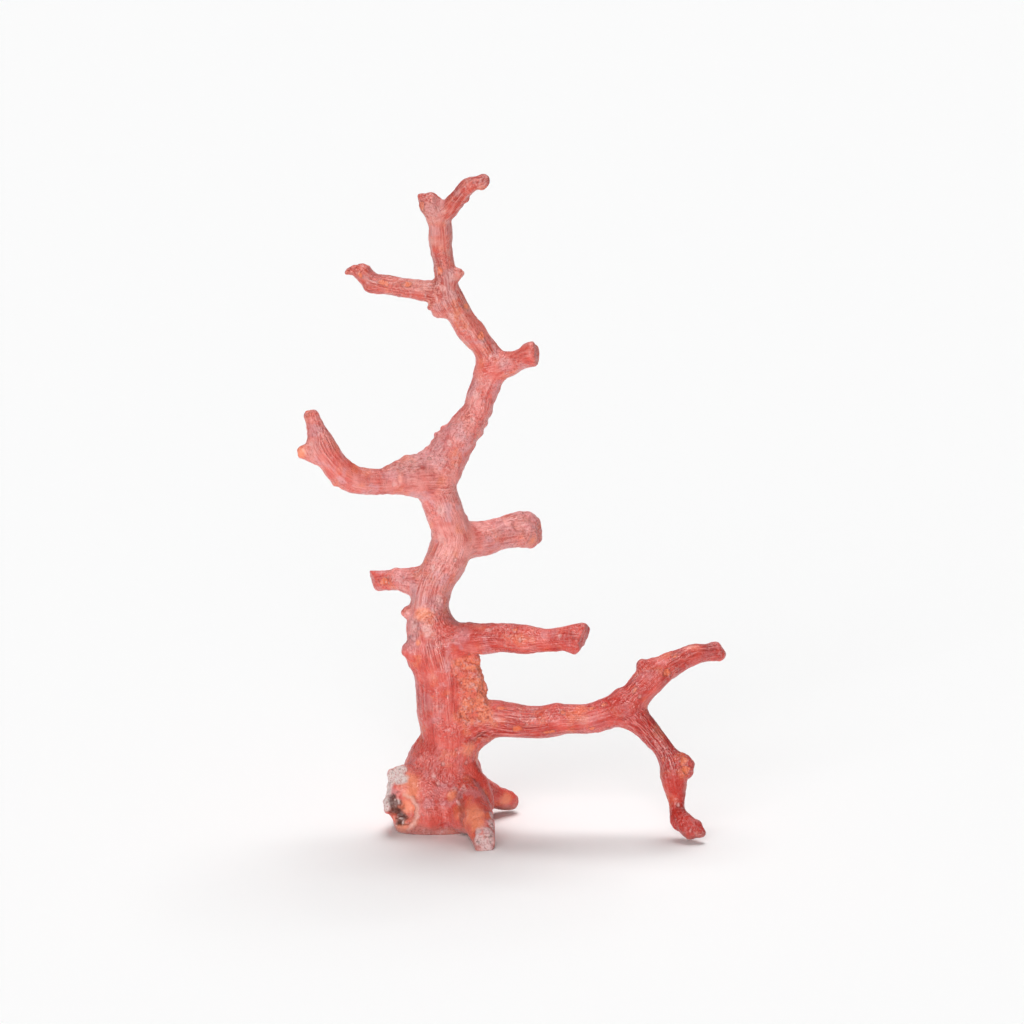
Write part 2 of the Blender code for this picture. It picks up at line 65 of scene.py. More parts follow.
# A limb: its route of (across, height as seen, depth, radius), the piece that it starts in, the pieces
# that begin at a distance along it, and how pale it is at even steps along it, from 0, deep red, to 1.
LIMBS = {
    "stem": {
        "route": [
            (-0.2, -0.2, -1.0, 9.5), (0.4, 4.4, 0.0, 9.5), (0.7, 9.2, 1.0, 9.2), (0.5, 13.6, 0.5, 8.0),
            (2.1, 19.1, 0.0, 6.45), (1.3, 26.8, -0.5, 6.5), (0.7, 34.5, -1.0, 6.3),
            (-0.8, 41.1, -1.0, 5.8), (-2.2, 47.2, 0.0, 4.4), (-1.6, 52.1, 1.0, 4.3),
            (-0.3, 55.2, 1.3, 4.2), (1.2, 58.2, 1.5, 4.6), (3.05, 63.1, 2.0, 4.05),
            (1.6, 67.5, 2.0, 4.3), (0.2, 71.9, 1.5, 4.2), (-1.2, 75.6, 1.5, 3.6), (0.9, 80.0, 2.0, 4.5),
            (3.3, 84.0, 2.5, 4.3), (5.6, 87.8, 3.0, 3.7), (7.3, 90.2, 3.3, 3.2), (8.3, 91.8, 3.5, 3.1),
            (9.1, 94.8, 4.0, 3.4), (10.4, 98.3, 4.5, 3.3), (11.4, 101.8, 4.5, 2.9),
            (9.8, 105.1, 4.5, 2.85), (7.5, 108.2, 4.0, 2.9), (5.2, 111.3, 3.5, 2.8),
            (3.1, 114.6, 3.0, 2.9), (1.6, 117.6, 2.5, 3.0), (1.2, 120.7, 2.0, 2.5),
            (0.7, 124.2, 1.5, 2.3), (0.15, 128.0, 0.5, 2.45), (0.0, 131.7, -0.5, 2.6),
            (-0.75, 135.5, -1.5, 2.6), (-2.3, 137.4, -2.0, 2.1), (-3.8, 138.6, -2.5, 1.2),
        ],
        "node": "holdfast",
        "cuts": [
            ("lower_stem", 16.0), ("middle_stem", 49.5), ("upper_stem", 74.0), ("crown_stem", 99.0),
            ("top_branch", 120.5),
        ],
        "paleness": [0.38, 0.33, 0.32, 0.55, 1.0, 1.06, 0.74, 0.72, 0.7, 0.55, 0.4],
    },
    "top_tip": {
        "route": [
            (-0.3, 134.3, -1.5, 2.2), (2.0, 136.0, -2.5, 2.1), (4.2, 138.5, -4.0, 1.8),
            (6.0, 140.8, -5.5, 1.9), (7.8, 141.6, -6.5, 1.55), (9.4, 141.9, -7.0, 1.5),
            (10.9, 142.5, -7.5, 1.1),
        ],
        "node": "top_branch",
        "cuts": [("top_tip", 4.2)],
        "paleness": [0.5, 0.3],
    },
    "crown_left_branch": {
        "route": [
            (0.7, 117.7, 2.5, 2.6), (-4.4, 118.3, 3.0, 2.3), (-8.1, 118.8, 4.0, 2.1),
            (-11.7, 119.4, 5.0, 2.1), (-14.3, 119.8, 6.0, 2.2), (-16.5, 121.3, 6.5, 2.1),
            (-18.7, 122.4, 7.0, 1.3), (-21.0, 121.8, 7.5, 0.35),
        ],
        "node": "top_branch",
        "cuts": [("crown_left_branch", 6.2)],
        "paleness": [0.7, 0.5, 0.4],
    },
    "upper_right_stub": {
        "route": [
            (10.8, 100.8, 4.5, 3.3), (14.3, 101.7, 3.0, 2.9), (17.2, 102.7, 1.0, 2.6),
            (19.8, 103.9, -0.5, 2.7), (22.6, 104.6, -2.0, 2.7),
        ],
        "node": "crown_stem",
        "cuts": [("upper_right_stub", 6.4)],
        "paleness": [0.7, 0.6],
    },
    "left_arm": {
        "route": [
            (-0.9, 77.2, 1.0, 4.6), (-5.3, 77.2, -1.0, 4.6), (-8.8, 76.8, -3.0, 3.8),
            (-11.9, 76.1, -4.5, 3.0), (-15.4, 75.9, -6.0, 2.95), (-18.7, 76.4, -7.0, 3.1),
            (-21.4, 77.8, -7.5, 3.1), (-24.1, 80.8, -7.5, 3.0), (-26.0, 83.7, -7.0, 3.0),
            (-26.9, 86.6, -6.0, 2.4), (-27.8, 89.2, -5.0, 1.75), (-28.7, 91.8, -4.4, 1.7),
            (-29.0, 93.8, -4.2, 1.6),
        ],
        "node": "upper_stem",
        "cuts": [("left_arm", 7.6)],
        "paleness": [1.0, 0.86, 0.78, 0.8, 0.62],
    },
    "right_stub": {
        "route": [
            (2.6, 62.9, 3.0, 4.4), (6.6, 63.1, 4.5, 4.2), (10.1, 63.7, 6.0, 4.0), (13.6, 64.7, 7.5, 3.7),
            (16.7, 65.1, 8.5, 3.7), (19.4, 65.5, 9.5, 3.85), (21.6, 65.4, 10.2, 3.8),
            (24.0, 65.4, 11.0, 3.6),
        ],
        "node": "middle_stem",
        "cuts": [("right_stub", 6.2)],
        "paleness": [0.95, 0.86, 0.78],
    },
    "left_stub": {
        "route": [
            (-1.5, 54.1, 1.0, 3.3), (-5.9, 54.1, 3.0, 2.9), (-9.0, 54.5, 4.5, 2.5),
            (-11.9, 54.4, 6.0, 2.3), (-14.3, 54.2, 7.0, 2.2), (-16.4, 54.2, 8.0, 2.1),
        ],
        "node": "middle_stem",
        "cuts": [("left_stub", 6.0)],
        "paleness": [0.8, 0.7, 0.35],
    },
    "right_branch": {
        "route": [
            (0.9, 40.4, -2.0, 4.2), (4.8, 41.1, -4.0, 3.85), (8.8, 41.4, -6.0, 3.4),
            (13.2, 41.7, -8.0, 3.2), (18.0, 41.4, -10.0, 3.2), (21.6, 41.1, -11.0, 2.85),
            (24.6, 41.2, -12.0, 2.7), (28.2, 41.5, -13.0, 2.8), (30.0, 41.4, -13.5, 3.1),
            (31.6, 41.2, -14.0, 3.35), (34.0, 41.0, -14.8, 3.4),
        ],
        "node": "lower_stem",
        "cuts": [("right_branch", 12.0)],
        "paleness": [0.5, 0.45, 0.35, 0.15],
    },
    "lower_arm": {
        "route": [
            (4.0, 22.4, 0.0, 5.6), (8.4, 23.4, -1.5, 4.9), (12.8, 23.9, -3.0, 4.0),
            (16.3, 23.4, -4.0, 3.8), (19.8, 23.0, -5.0, 3.6), (23.3, 23.2, -6.0, 3.6),
            (26.6, 23.8, -6.5, 3.5), (29.9, 23.8, -7.0, 3.2), (33.0, 23.9, -7.0, 3.4),
            (36.3, 24.8, -7.0, 3.45), (39.5, 25.9, -7.0, 3.6), (42.1, 27.8, -7.0, 3.5),
        ],
        "node": "lower_stem",
        "cuts": [("lower_arm", 8.6)],
        "paleness": [0.32, 0.26, 0.2, 0.12, 0.05],
    },
    "lower_arm_rise": {
        "route": [
            (40.6, 26.9, -7.0, 3.4), (42.5, 28.2, -7.0, 3.2), (45.0, 31.2, -6.5, 3.4),
            (47.8, 33.8, -5.5, 3.2), (49.9, 35.2, -4.5, 3.0), (51.9, 36.4, -3.5, 2.8),
            (53.9, 37.3, -2.5, 2.4), (56.3, 38.1, -1.5, 2.25), (58.5, 38.4, -0.5, 2.0),
            (60.5, 38.8, 0.5, 2.0), (61.8, 38.6, 1.0, 1.5),
        ],
        "node": "lower_arm",
        "cuts": [("lower_arm_rise", 6.8)],
        "paleness": [0.15, 0.2, 0.1, 0.0],
    },
    "lower_arm_drop": {
        "route": [
            (40.6, 26.0, -7.0, 3.6), (44.4, 22.7, -8.0, 2.8), (47.0, 19.7, -8.5, 2.35),
            (49.1, 17.2, -9.0, 2.15), (50.6, 14.4, -9.5, 2.35), (51.3, 11.4, -10.0, 2.7),
            (51.7, 8.5, -10.0, 2.3), (52.0, 5.7, -10.5, 1.85), (52.3, 3.5, -11.5, 1.8),
            (53.3, 1.3, -13.4, 2.2), (55.2, -0.4, -15.3, 1.95), (57.0, -0.6, -16.0, 1.3),
        ],
        "node": "lower_arm",
        "cuts": [("lower_arm_drop", 5.6)],
        "paleness": [0.04, -0.06, -0.1, -0.2],
    },
    "left_root": {
        "route": [
            (-0.9, 6.8, -1.0, 7.0), (-4.0, 5.4, -4.0, 6.8), (-6.4, 4.4, -6.5, 5.9),
            (-7.4, 4.7, -8.8, 4.8),
        ],
        "node": "holdfast",
        "cuts": [],
        "paleness": [0.35, 0.45],
    },
    "front_root": {
        "route": [
            (4.8, 8.1, -4.0, 4.4), (7.0, 4.1, -10.0, 4.1), (8.6, 0.6, -15.0, 3.5),
            (9.4, -2.0, -18.5, 2.9), (9.8, -3.4, -21.5, 2.6), (10.0, -4.2, -24.0, 2.5),
        ],
        "node": "holdfast",
        "cuts": [],
        "paleness": [0.35, 0.4],
    },
    "back_root": {
        "route": [
            (1.5, 7.5, 5.0, 6.5), (4.0, 6.0, 9.0, 5.5), (6.5, 4.8, 10.5, 4.4), (8.5, 4.2, 10.5, 4.2),
        ],
        "node": "holdfast",
        "cuts": [],
        "paleness": [0.35, 0.4],
    },
    "base_spur": {
        "route": [
            (8.4, 8.6, 4.0, 3.1), (12.3, 6.5, 6.0, 2.4), (15.0, 5.8, 7.5, 2.05), (16.9, 5.3, 8.6, 1.4),
        ],
        "node": "holdfast",
        "cuts": [],
        "paleness": [0.3, 0.25],
    },
}

# Limbs whose grain is carried together. Limbs that meet at a fork are in different families.
GRAIN_FAMILIES = [
    ["stem", "lower_arm_rise"],
    [
        "top_tip", "crown_left_branch", "upper_right_stub", "left_arm", "right_stub", "left_stub",
        "right_branch", "lower_arm", "left_root",
    ],
    ["lower_arm_drop", "front_root", "back_root", "base_spur"],
]
# The attribute that holds each family's places for the material's grooves.
GRAIN_ATTRIBUTES = ("grain_a", "grain_b", "grain_c")

# Short knobs, buds and corners that stand off a limb, each with a route like a limb's.
KNOBS = [
    # The top tip.
    [(6.4, 141.0, -6.2, 1.5), (6.9, 142.9, -6.5, 0.7)],
    [(9.4, 142.2, -7.0, 1.3), (10.3, 143.2, -7.2, 0.75)],
    [(5.0, 138.6, -4.5, 1.3), (6.5, 137.7, -4.4, 0.6)],
    [(8.6, 141.4, -6.9, 1.2), (9.9, 140.6, -7.2, 0.6)],
    # The top branch and its end.
    [(-2.6, 137.9, -2.2, 1.7), (-4.9, 139.0, -2.6, 0.4)],
    [(-2.0, 137.6, -1.9, 1.8), (-1.6, 139.2, -1.9, 0.6)],
    [(-2.2, 136.4, -1.8, 1.8), (-4.1, 136.4, -2.2, 0.6)],
    [(-1.5, 135.8, -1.5, 2.0), (-3.5, 135.5, -2.2, 0.8)],
    [(-0.4, 128.6, 0.4, 1.9), (-2.0, 128.3, 0.0, 0.9)],
    # The fork of the crown's left branch.
    [(1.8, 120.9, 1.5, 2.3), (4.0, 121.9, 0.3, 1.2), (5.4, 122.0, 0.0, 0.45)],
    [(0.9, 115.4, 2.0, 2.6), (-1.0, 114.9, 1.6, 1.5), (-2.7, 114.1, 1.4, 0.3)],
    [(2.2, 114.0, 2.4, 2.3), (-0.4, 113.2, 1.8, 1.3), (-1.6, 112.6, 1.6, 0.6)],
    # The crown's left branch.
    [(-14.3, 119.4, 5.5, 1.9), (-16.9, 118.7, 5.0, 0.9)],
    [(-16.7, 122.4, 6.7, 1.6), (-18.0, 123.5, 6.9, 1.0)],
    # The left arm: its prongs, its tip and its elbow.
    [(-26.6, 83.2, -7.0, 2.6), (-29.2, 82.8, -8.5, 1.4), (-31.3, 82.9, -9.0, 0.4)],
    [(-27.4, 82.2, -7.8, 2.3), (-29.6, 81.9, -8.6, 1.1), (-31.0, 81.6, -8.9, 0.3)],
    [(-26.6, 81.6, -7.6, 2.2), (-28.6, 81.0, -8.3, 0.9)],
    [(-28.4, 90.4, -4.8, 1.4), (-30.2, 91.5, -4.4, 0.5)],
    [(-28.0, 90.2, -4.8, 1.4), (-27.2, 91.5, -4.6, 0.5)],
    [(-26.0, 82.2, -7.5, 2.3), (-27.9, 80.7, -8.0, 1.2)],
    [(-22.0, 76.9, -8.0, 1.8), (-23.5, 74.9, -8.4, 0.35)],
    # Teeth along the left arm's root and the upper stem, left and then right.
    [(-7.6, 78.6, -2.4, 2.4), (-8.4, 80.6, -2.5, 0.9)],
    [(-10.8, 77.8, -4.0, 1.8), (-11.6, 79.0, -4.2, 0.5)],
    [(-9.0, 78.6, -3.0, 1.7), (-9.6, 80.7, -3.2, 0.3)],
    [(-6.6, 79.0, -2.0, 2.2), (-7.7, 81.7, -2.2, 0.4)],
    [(-3.0, 80.6, 0.5, 1.9), (-4.3, 82.6, 0.2, 0.4)],
    [(-1.6, 81.5, 1.8, 2.2), (-3.2, 83.7, 1.6, 0.3)],
    [(0.2, 83.4, 2.0, 2.0), (-1.8, 85.0, 1.8, 0.3)],
    [(1.2, 85.0, 2.2, 2.0), (-1.2, 86.6, 2.0, 0.3)],
    [(2.6, 86.6, 2.6, 1.8), (0.3, 88.1, 2.4, 0.3)],
    [(9.4, 91.1, 3.5, 1.8), (11.6, 91.3, 3.3, 0.3)],
    [(8.6, 88.9, 3.3, 1.8), (10.7, 89.0, 3.2, 0.3)],
    [(7.4, 86.6, 3.0, 1.8), (9.6, 86.6, 2.9, 0.3)],
    [(6.0, 83.9, 2.6, 1.8), (7.9, 83.9, 2.5, 0.3)],
    # The right stub.
    [(16.5, 66.3, 8.5, 3.0), (19.2, 67.0, 8.8, 2.6), (20.4, 66.7, 9.0, 1.9)],
    [(17.2, 68.2, 7.6, 1.2), (18.3, 69.2, 7.4, 0.8)],
    [(12.2, 66.4, 5.6, 1.5), (12.8, 67.7, 5.2, 0.7)],
    [(19.0, 63.4, 9.5, 2.1), (20.9, 61.7, 9.8, 0.5)],
    [(20.2, 66.4, 9.6, 2.2), (21.6, 66.8, 10.0, 1.6)],
    [(20.6, 64.2, 9.2, 1.6), (21.9, 63.6, 9.6, 1.0)],
    # The left stub.
    [(-13.2, 55.0, 6.5, 1.4), (-16.6, 56.2, 7.2, 0.5)],
    [(-9.8, 55.6, 5.0, 1.6), (-10.4, 56.6, 5.0, 0.8)],
    # The right branch's end.
    [(30.0, 42.8, -13.8, 1.8), (32.2, 44.2, -14.2, 0.7)],
    [(29.0, 39.8, -13.5, 1.6), (30.8, 38.3, -14.0, 0.6)],
    # The lobe and thorns on the trunk's left, and the foot's flank towards its spur.
    [
        (-3.3, 43.9, -1.5, 3.8), (-3.7, 41.5, -2.0, 3.3), (-3.3, 38.6, -2.0, 3.7),
        (-2.5, 36.0, -2.0, 3.9), (-1.2, 31.6, -1.6, 3.6),
    ],
    [(-4.4, 47.6, 0.0, 1.9), (-7.0, 47.2, -0.7, 1.25), (-8.5, 47.1, -1.0, 0.45)],
    [(6.6, 11.8, -3.0, 2.4), (8.6, 9.0, -4.2, 2.4), (9.5, 6.4, -5.4, 2.4), (9.6, 3.6, -6.6, 2.3)],
    # Thorns under the lobe, and a bud above the right stub.
    [(-4.6, 38.4, -3.0, 2.7), (-7.0, 39.0, -3.8, 1.7), (-8.0, 39.9, -4.2, 1.0)],
    [(-5.0, 36.6, -2.4, 2.6), (-6.9, 36.2, -2.8, 1.0)],
    [(4.0, 67.4, 2.0, 1.4), (6.2, 68.1, 2.0, 0.6)],
    # The lower arm.
    [(26.2, 25.3, -6.5, 2.2), (27.2, 25.8, -6.6, 2.0)],
    [(32.4, 22.1, -7.2, 1.5), (33.4, 21.4, -7.4, 1.0)],
    [(7.4, 20.2, -1.0, 3.1), (8.8, 21.8, -1.5, 3.1)],
    # The rising branch.
    [(46.2, 33.8, -6.0, 2.4), (44.7, 35.2, -6.6, 1.6)],
    [(45.4, 34.2, -6.2, 2.0), (43.9, 36.6, -6.7, 0.8)],
    [(47.2, 34.8, -5.6, 2.0), (45.8, 36.6, -6.1, 0.9)],
    [(60.4, 38.4, 0.5, 1.8), (63.0, 38.0, 0.9, 0.7)],
    [(60.2, 39.0, 0.4, 1.7), (61.4, 40.4, 0.6, 0.7)],
    [(60.8, 38.2, 0.6, 1.6), (62.4, 36.9, 0.8, 0.5)],
    # The dropping branch: its knob, and its toe.
    [(51.2, 14.8, -10.0, 2.4), (53.9, 14.3, -10.6, 1.6), (56.0, 13.6, -11.0, 0.5)],
    [(51.6, 12.2, -10.3, 2.5), (54.2, 12.2, -10.6, 1.5), (55.7, 12.3, -10.9, 0.7)],
    [(51.6, 9.8, -10.4, 2.3), (53.7, 9.6, -10.6, 1.1)],
    [(52.6, 1.6, -12.8, 1.8), (50.9, 0.4, -13.2, 0.9)],
    [(52.6, 0.6, -13.4, 1.6), (52.0, -0.8, -14.0, 0.8)],
    [(55.8, -0.5, -15.5, 1.7), (58.3, -1.6, -16.4, 0.6)],
    [(55.4, -0.2, -15.3, 1.6), (57.2, 0.7, -15.6, 0.5)],
    [(54.6, -0.6, -15.0, 1.7), (55.0, -2.2, -15.8, 0.5)],
    # The foot's left side.
    [(-7.8, 9.8, -4.0, 3.4), (-10.6, 10.4, -5.4, 2.3)],
    [(-7.6, 11.4, -4.2, 2.6), (-9.2, 12.4, -5.0, 1.2)],
    [(-7.6, 7.8, -6.0, 3.6), (-10.8, 7.6, -7.0, 2.1)],
    [(-9.6, 11.2, -5.0, 1.9), (-11.6, 11.4, -5.8, 0.8)],
    [(-10.6, 4.4, -8.6, 1.4), (-12.4, 3.9, -9.4, 0.6)],
    # The front root and the left root.
    [(1.0, 5.2, -3.5, 5.2), (5.4, 3.2, -9.0, 4.0), (6.6, 1.0, -12.6, 3.2)],
    [(9.0, 1.0, -15.5, 2.6), (10.9, 1.6, -16.6, 1.4)],
    [(9.2, -1.4, -18.4, 2.4), (11.2, -1.2, -19.0, 1.1)],
    [(-10.0, 5.2, -8.0, 2.4), (-12.2, 4.6, -9.0, 0.9)],
    [(-3.0, 3.0, -8.0, 4.0), (-4.6, 2.0, -9.4, 3.2)],
    # The swelling under the crust.
    [(6.2, 34.6, -4.0, 3.2), (8.6, 34.9, -4.2, 2.4)],
    [(6.6, 30.4, -3.5, 3.4), (9.2, 30.4, -3.6, 2.4)],
    [(8.4, 32.4, -3.4, 1.8), (9.6, 32.6, -3.4, 1.2)],
    [(8.8, 30.2, -3.0, 1.9), (10.6, 29.6, -3.0, 1.1)],
    [(7.4, 28.2, -3.2, 2.7), (10.0, 27.9, -3.4, 1.8)],
    [(7.0, 36.4, -4.0, 1.9), (8.9, 36.8, -4.2, 1.3)],
]

# Old breaks that end a limb: (a place on the break, the way it faces, how far its rim is worn round).
BREAKS = [
    ((31.4, 41.2, -14.0), (0.95, -0.3, -0.27), 0.9),
    ((21.4, 103.9, -1.3), (0.97, -0.2, 0.14), 1.2),
    ((21.9, 65.0, 10.0), (0.92, -0.25, 0.1), 2.6),
    ((-14.9, 54.2, 7.1), (-0.88, -0.22, -0.3), 0.9),
    ((-28.8, 91.3, -4.3), (-0.1, -0.2, 0.95), 0.8),
    ((9.7, -3.3, -22.2), (0.3, -0.93, 0.2), 1.2),
    ((-12.2, 7.4, -6.5), (-0.98, -0.12, 0.1), 0.7),
]
BREAK_REACH = 6.0
BREAK_ROUGHNESS = 0.45

# Hollows: (place, half sizes across, away and up). The first three are the foot's crevice and its undercut
# left side, and the rest are dents in the worn end of the right stub.
PITS = [
    ((-9.6, 4.4, -12.6), (1.3, 1.7, 3.2)),
    ((-7.9, 7.2, -11.6), (1.6, 1.5, 1.8)),
    ((-12.2, 0.0, -8.0), (2.4, 6.5, 3.4)),
    ((17.2, 66.3, 5.4), (1.3, 0.6, 1.3)),
    ((19.2, 65.4, 5.4), (1.0, 0.9, 1.3)),
    ((20.6, 64.3, 5.8), (0.8, 0.9, 1.3)),
    ((22.3, 64.3, 9.6), (0.9, 0.7, 2.4)),
]

# Scars, seen from the front: (across, height as seen, half width, half length along the grain), with the
# sizes still to be scaled by SCAR_SCALE. White pit marks have only a place, and are all of one size. Both
# kinds are partly real and partly painted highlights: pale spots put where small bumps glint, as on the
# foot.
PALE_SCARS_AND_GLINTS = [
    (0.2, 70.2, 1.2, 1.8), (0.2, 63.6, 1.1, 1.5), (-0.4, 49.9, 1.0, 1.5), (-6.1, 43.6, 0.9, 2.2),
    (-2.6, 42.9, 1.3, 2.0), (11.2, 103.6, 0.8, 1.0), (8.1, 94.8, 1.2, 1.1), (2.4, 112.4, 0.8, 1.2),
    (0.7, 118.6, 0.9, 0.8), (6.8, 108.7, 0.4, 1.6), (2.2, 84.3, 0.6, 0.7), (3.5, 79.6, 0.6, 0.6),
    (-9.9, 75.5, 0.6, 0.8), (-28.2, 84.5, 0.8, 1.1), (11.7, 105.8, 0.6, 0.6), (-1.5, 57.0, 0.6, 1.5),
    (26.4, 42.2, 0.6, 0.6), (10.8, 43.4, 0.5, 0.7), (7.0, 89.5, 0.5, 1.2), (5.4, 8.4, 0.5, 1.3),
    (7.7, 9.2, 0.5, 1.0), (-1.6, 11.2, 0.6, 0.9), (3.9, 5.4, 0.4, 0.9),
]
ORANGE_SCARS = [
    (-7.0, 119.5, 0.8, 1.2), (-12.5, 119.7, 0.7, 1.2), (-0.2, 122.3, 0.8, 1.0), (5.7, 114.2, 0.7, 1.0),
    (9.2, 107.8, 1.0, 1.2), (27.1, 25.3, 0.7, 1.0), (33.4, 26.2, 0.6, 0.9), (35.9, 27.0, 0.5, 0.7),
    (42.9, 30.0, 0.6, 0.8), (51.7, 37.6, 0.6, 0.9), (49.9, 33.9, 0.8, 1.2), (53.5, 14.4, 0.8, 1.3),
    (54.3, 12.6, 0.9, 1.2), (17.2, 21.6, 0.8, 1.5), (24.9, 20.9, 0.6, 1.0), (13.4, 26.2, 0.6, 1.0),
    (-12.3, 54.1, 1.1, 2.0), (33.4, 21.6, 0.5, 0.8), (16.5, 43.6, 0.5, 0.8), (-4.0, 136.6, 0.8, 1.1),
    (-17.6, 121.5, 0.6, 1.1), (23.1, 20.9, 0.5, 1.2),
]
WHITE_PITS_AND_GLINTS = [
    (1.5, 28.8), (-0.4, 22.9), (6.0, 22.7), (2.6, 41.1), (-6.2, 80.5), (-2.2, 81.0), (4.4, 114.9),
    (17.6, 41.1), (44.0, 28.5), (52.4, 4.7), (3.3, 58.7), (-4.6, 40.5), (-0.4, 9.6), (2.3, 6.6),
    (8.6, 12.4), (3.6, 17.2), (5.8, 14.2), (0.6, 14.0),
]
WHITE_PIT_SIZE = (0.4, 0.5)
SCAR_SCALE = 1.15
# How far their rims wander, in shares of their sizes, and over what distance in mm.
SCAR_WANDER = 0.5
SCAR_WANDER_SIZE = 1.0

# About as many again are strewn over the back: how many of each kind, how far their places face away, how
# high above the ground they begin, their half widths, and how much longer than wide they are.
HIDDEN_SCARS = 26
HIDDEN_PITS = 22
FACING_AWAY = 0.25
HIDDEN_FROM_HEIGHT = 4
HIDDEN_WIDTHS = (0.45, 1.1)
HIDDEN_STRETCH = (1.1, 1.8)

# Patches of chalk, orange and rough bloom, seen from the front: ((across, height as seen), radius).
CHALK_PATCHES = [
    ((-11.2, 10.2), 2.4), ((-10.0, 11.8), 2.0), ((-8.8, 12.8), 1.3), ((-11.6, 7.6), 2.0),
    ((-8.9, 10.6), 1.6), ((-11.8, 5.2), 1.4), ((11.7, 2.6), 1.2), ((11.4, 0.8), 1.4),
    ((10.7, -1.0), 1.7), ((8.4, -1.0), 1.0), ((8.6, -2.6), 1.5), ((10.4, -3.8), 2.0),
]
ORANGE_PATCHES = [
    ((-6.6, 10.2), 2.0), ((-6.4, 7.6), 1.8), ((-7.2, 4.6), 1.8), ((-8.6, -0.2), 1.6), ((7.4, 3.2), 2.2),
    ((8.0, 0.8), 1.8), ((14.4, 6.2), 1.4), ((2.6, 7.0), 1.2), ((6.0, 17.0), 1.6), ((-3.9, 46.8), 1.5),
    ((-4.8, 40.5), 0.6), ((20.4, 62.9), 1.3), ((-30.6, 82.4), 1.1),
]
VEIL_PATCHES = [
    ((-7.0, 79.2), 2.6), ((-3.0, 81.3), 3.0), ((-0.2, 84.6), 2.6), ((2.0, 87.6), 2.2),
    ((-10.8, 77.6), 1.6), ((-2.4, 135.6), 2.4), ((-1.4, 131.0), 1.4), ((14.5, 66.4), 2.6),
    ((19.0, 67.6), 2.6), ((-8.6, 54.6), 1.8), ((5.0, 42.4), 1.6), ((-5.4, 44.2), 2.6),
    ((-6.4, 40.6), 2.4), ((14.4, 101.5), 1.6),
]

# Lines through places seen from the front, and how wide each kind reaches to both sides: bare red bands,
# creases darkened with painted shade, the foot's crevice painted dark as shade, and the cream ridge beside
# it.
RED_LINES = [
    [(-2.9, 31.0), (-2.7, 27.4), (-2.5, 23.6), (-2.1, 19.6), (-1.4, 16.4), (-0.6, 13.8), (1.4, 10.4)],
    [(1.2, 38.4), (3.7, 39.8), (6.2, 40.6), (8.6, 40.9), (12.0, 40.2)],
    [(25.0, 41.4), (27.4, 41.2), (29.6, 41.7)],
    [(14.6, 22.2), (17.4, 20.8), (21.0, 20.9), (24.6, 21.4)],
    [(39.4, 25.8), (42.6, 24.0), (45.4, 20.6)],
    [(51.4, 11.2), (51.6, 8.2), (51.9, 4.6), (54.4, 0.8)],
]
SHADED_CREASE_LINES = [
    [(3.7, 8.2), (4.5, 5.9), (4.8, 2.2), (5.1, -0.8)],
    [(-6.9, 41.9), (-5.7, 41.6), (-5.0, 42.6)],
    [(-5.6, 45.2), (-4.9, 43.6)],
    [(9.6, 20.6), (7.9, 19.4), (6.8, 17.2)],
]
CREVICE_LINE = [(-10.3, 6.2), (-9.2, 3.3), (-8.4, 1.1)]
RIDGE_LINE = [(-7.9, 6.9), (-6.3, 6.4), (-5.2, 4.4), (-5.0, 2.6), (-5.8, 0.6), (-6.8, -0.4)]
LINE_HALF_WIDTHS = {"red": 2.0, "shaded_crease": 1.1, "crevice": 1.9, "ridge": 0.8}

# The crusted swelling, seen from the front: its middle, its half sizes, how much its rim wanders, and how
# far it leans to the left for each mm up.
CRUST_MIDDLE = (7.576, 30.2)
CRUST_HALF_SIZES = (3.4, 7.2)
CRUST_WANDER = (1.3, 1.6)
CRUST_LEAN = 0.12

# Patterns of noise: (size in mm, seed). Those of the first table have three layers, the others one.
PATTERNS = {
    "break_face": (2.2, 71),
    "patch_rim": (1.6, 31),
    "line_rim": (1.1, 41),
    "crust_rim": (2.4, 8),
    "skirt_rim": (1.6, 15),
    "groove_bundles": (6.0, 3),
    "grainy_areas": (4.0, 17),
    "gloss": (3.0, 16),
    "broad_tone": (7.0, 11),
    "fine_tone": (2.4, 12),
    "orange_blotches": (2.8, 13),
    "red_blotches": (1.8, 18),
    "red_streaks": (4.0, 34),
    "bloom": (2.6, 14),
    "crust_salmon": (2.4, 19),
    "crust_dirt": (2.0, 20),
    "chalk_dirt": (2.4, 33),
    "lumps": (5.5, 21),
    "small_lumps": (2.4, 22),
    "bloom_lumps": (2.0, 27),
    "crust_lumps": (1.8, 28),
    "wrinkled_areas": (8.0, 26),
}
GRAIN_PATTERNS = {
    "coarse_grains": (0.85, 61),
    "fine_grains": (0.42, 62),
    "tooth": (0.7, 23),
    "wrinkles": (3.4, 24),
    "fine_wrinkles": (1.7, 25),
}
GROOVE_SEED = 5
SCAR_SEEDS = {"pale": 51, "orange": 52, "pits_and_glints": 53}

# Tints mixed from the user's colours: (shares of them, and what red, green and blue are scaled by).
MIXED_TINTS = {
    "rust": ({"orange": 1.0}, (0.72, 0.55, 0.5)),
    "warm_patch": ({"orange": 0.9, "scar": 0.2}, (1.0, 1.0, 1.0)),
    "cream": ({"scar": 1.0}, (1.0, 0.95, 0.8)),
    "pinkish_chalk": ({"scar": 1.0}, (0.95, 0.95, 1.05)),
    "brown_rim": ({"shade": 1.2, "scar": 0.4}, (1.0, 1.0, 1.0)),
    # Painted shadow, near black, for the low grains in the foot's crevice.
    "shadow_black": ({"shade": 1.0}, (0.25, 0.25, 0.25)),
}
# The share that red, green and blue change by where the branch is weathered, which is all of it above the
# second height in mm and none below the first, and where a streak of the grain is strongest.
WEATHERING = np.array([-0.1, 0.12, 0.05])
WEATHERED_FROM, WEATHERED_TO = 95, 125
STREAK_TINT = 0.12 * np.array([0.7, 1.25, 1.25])

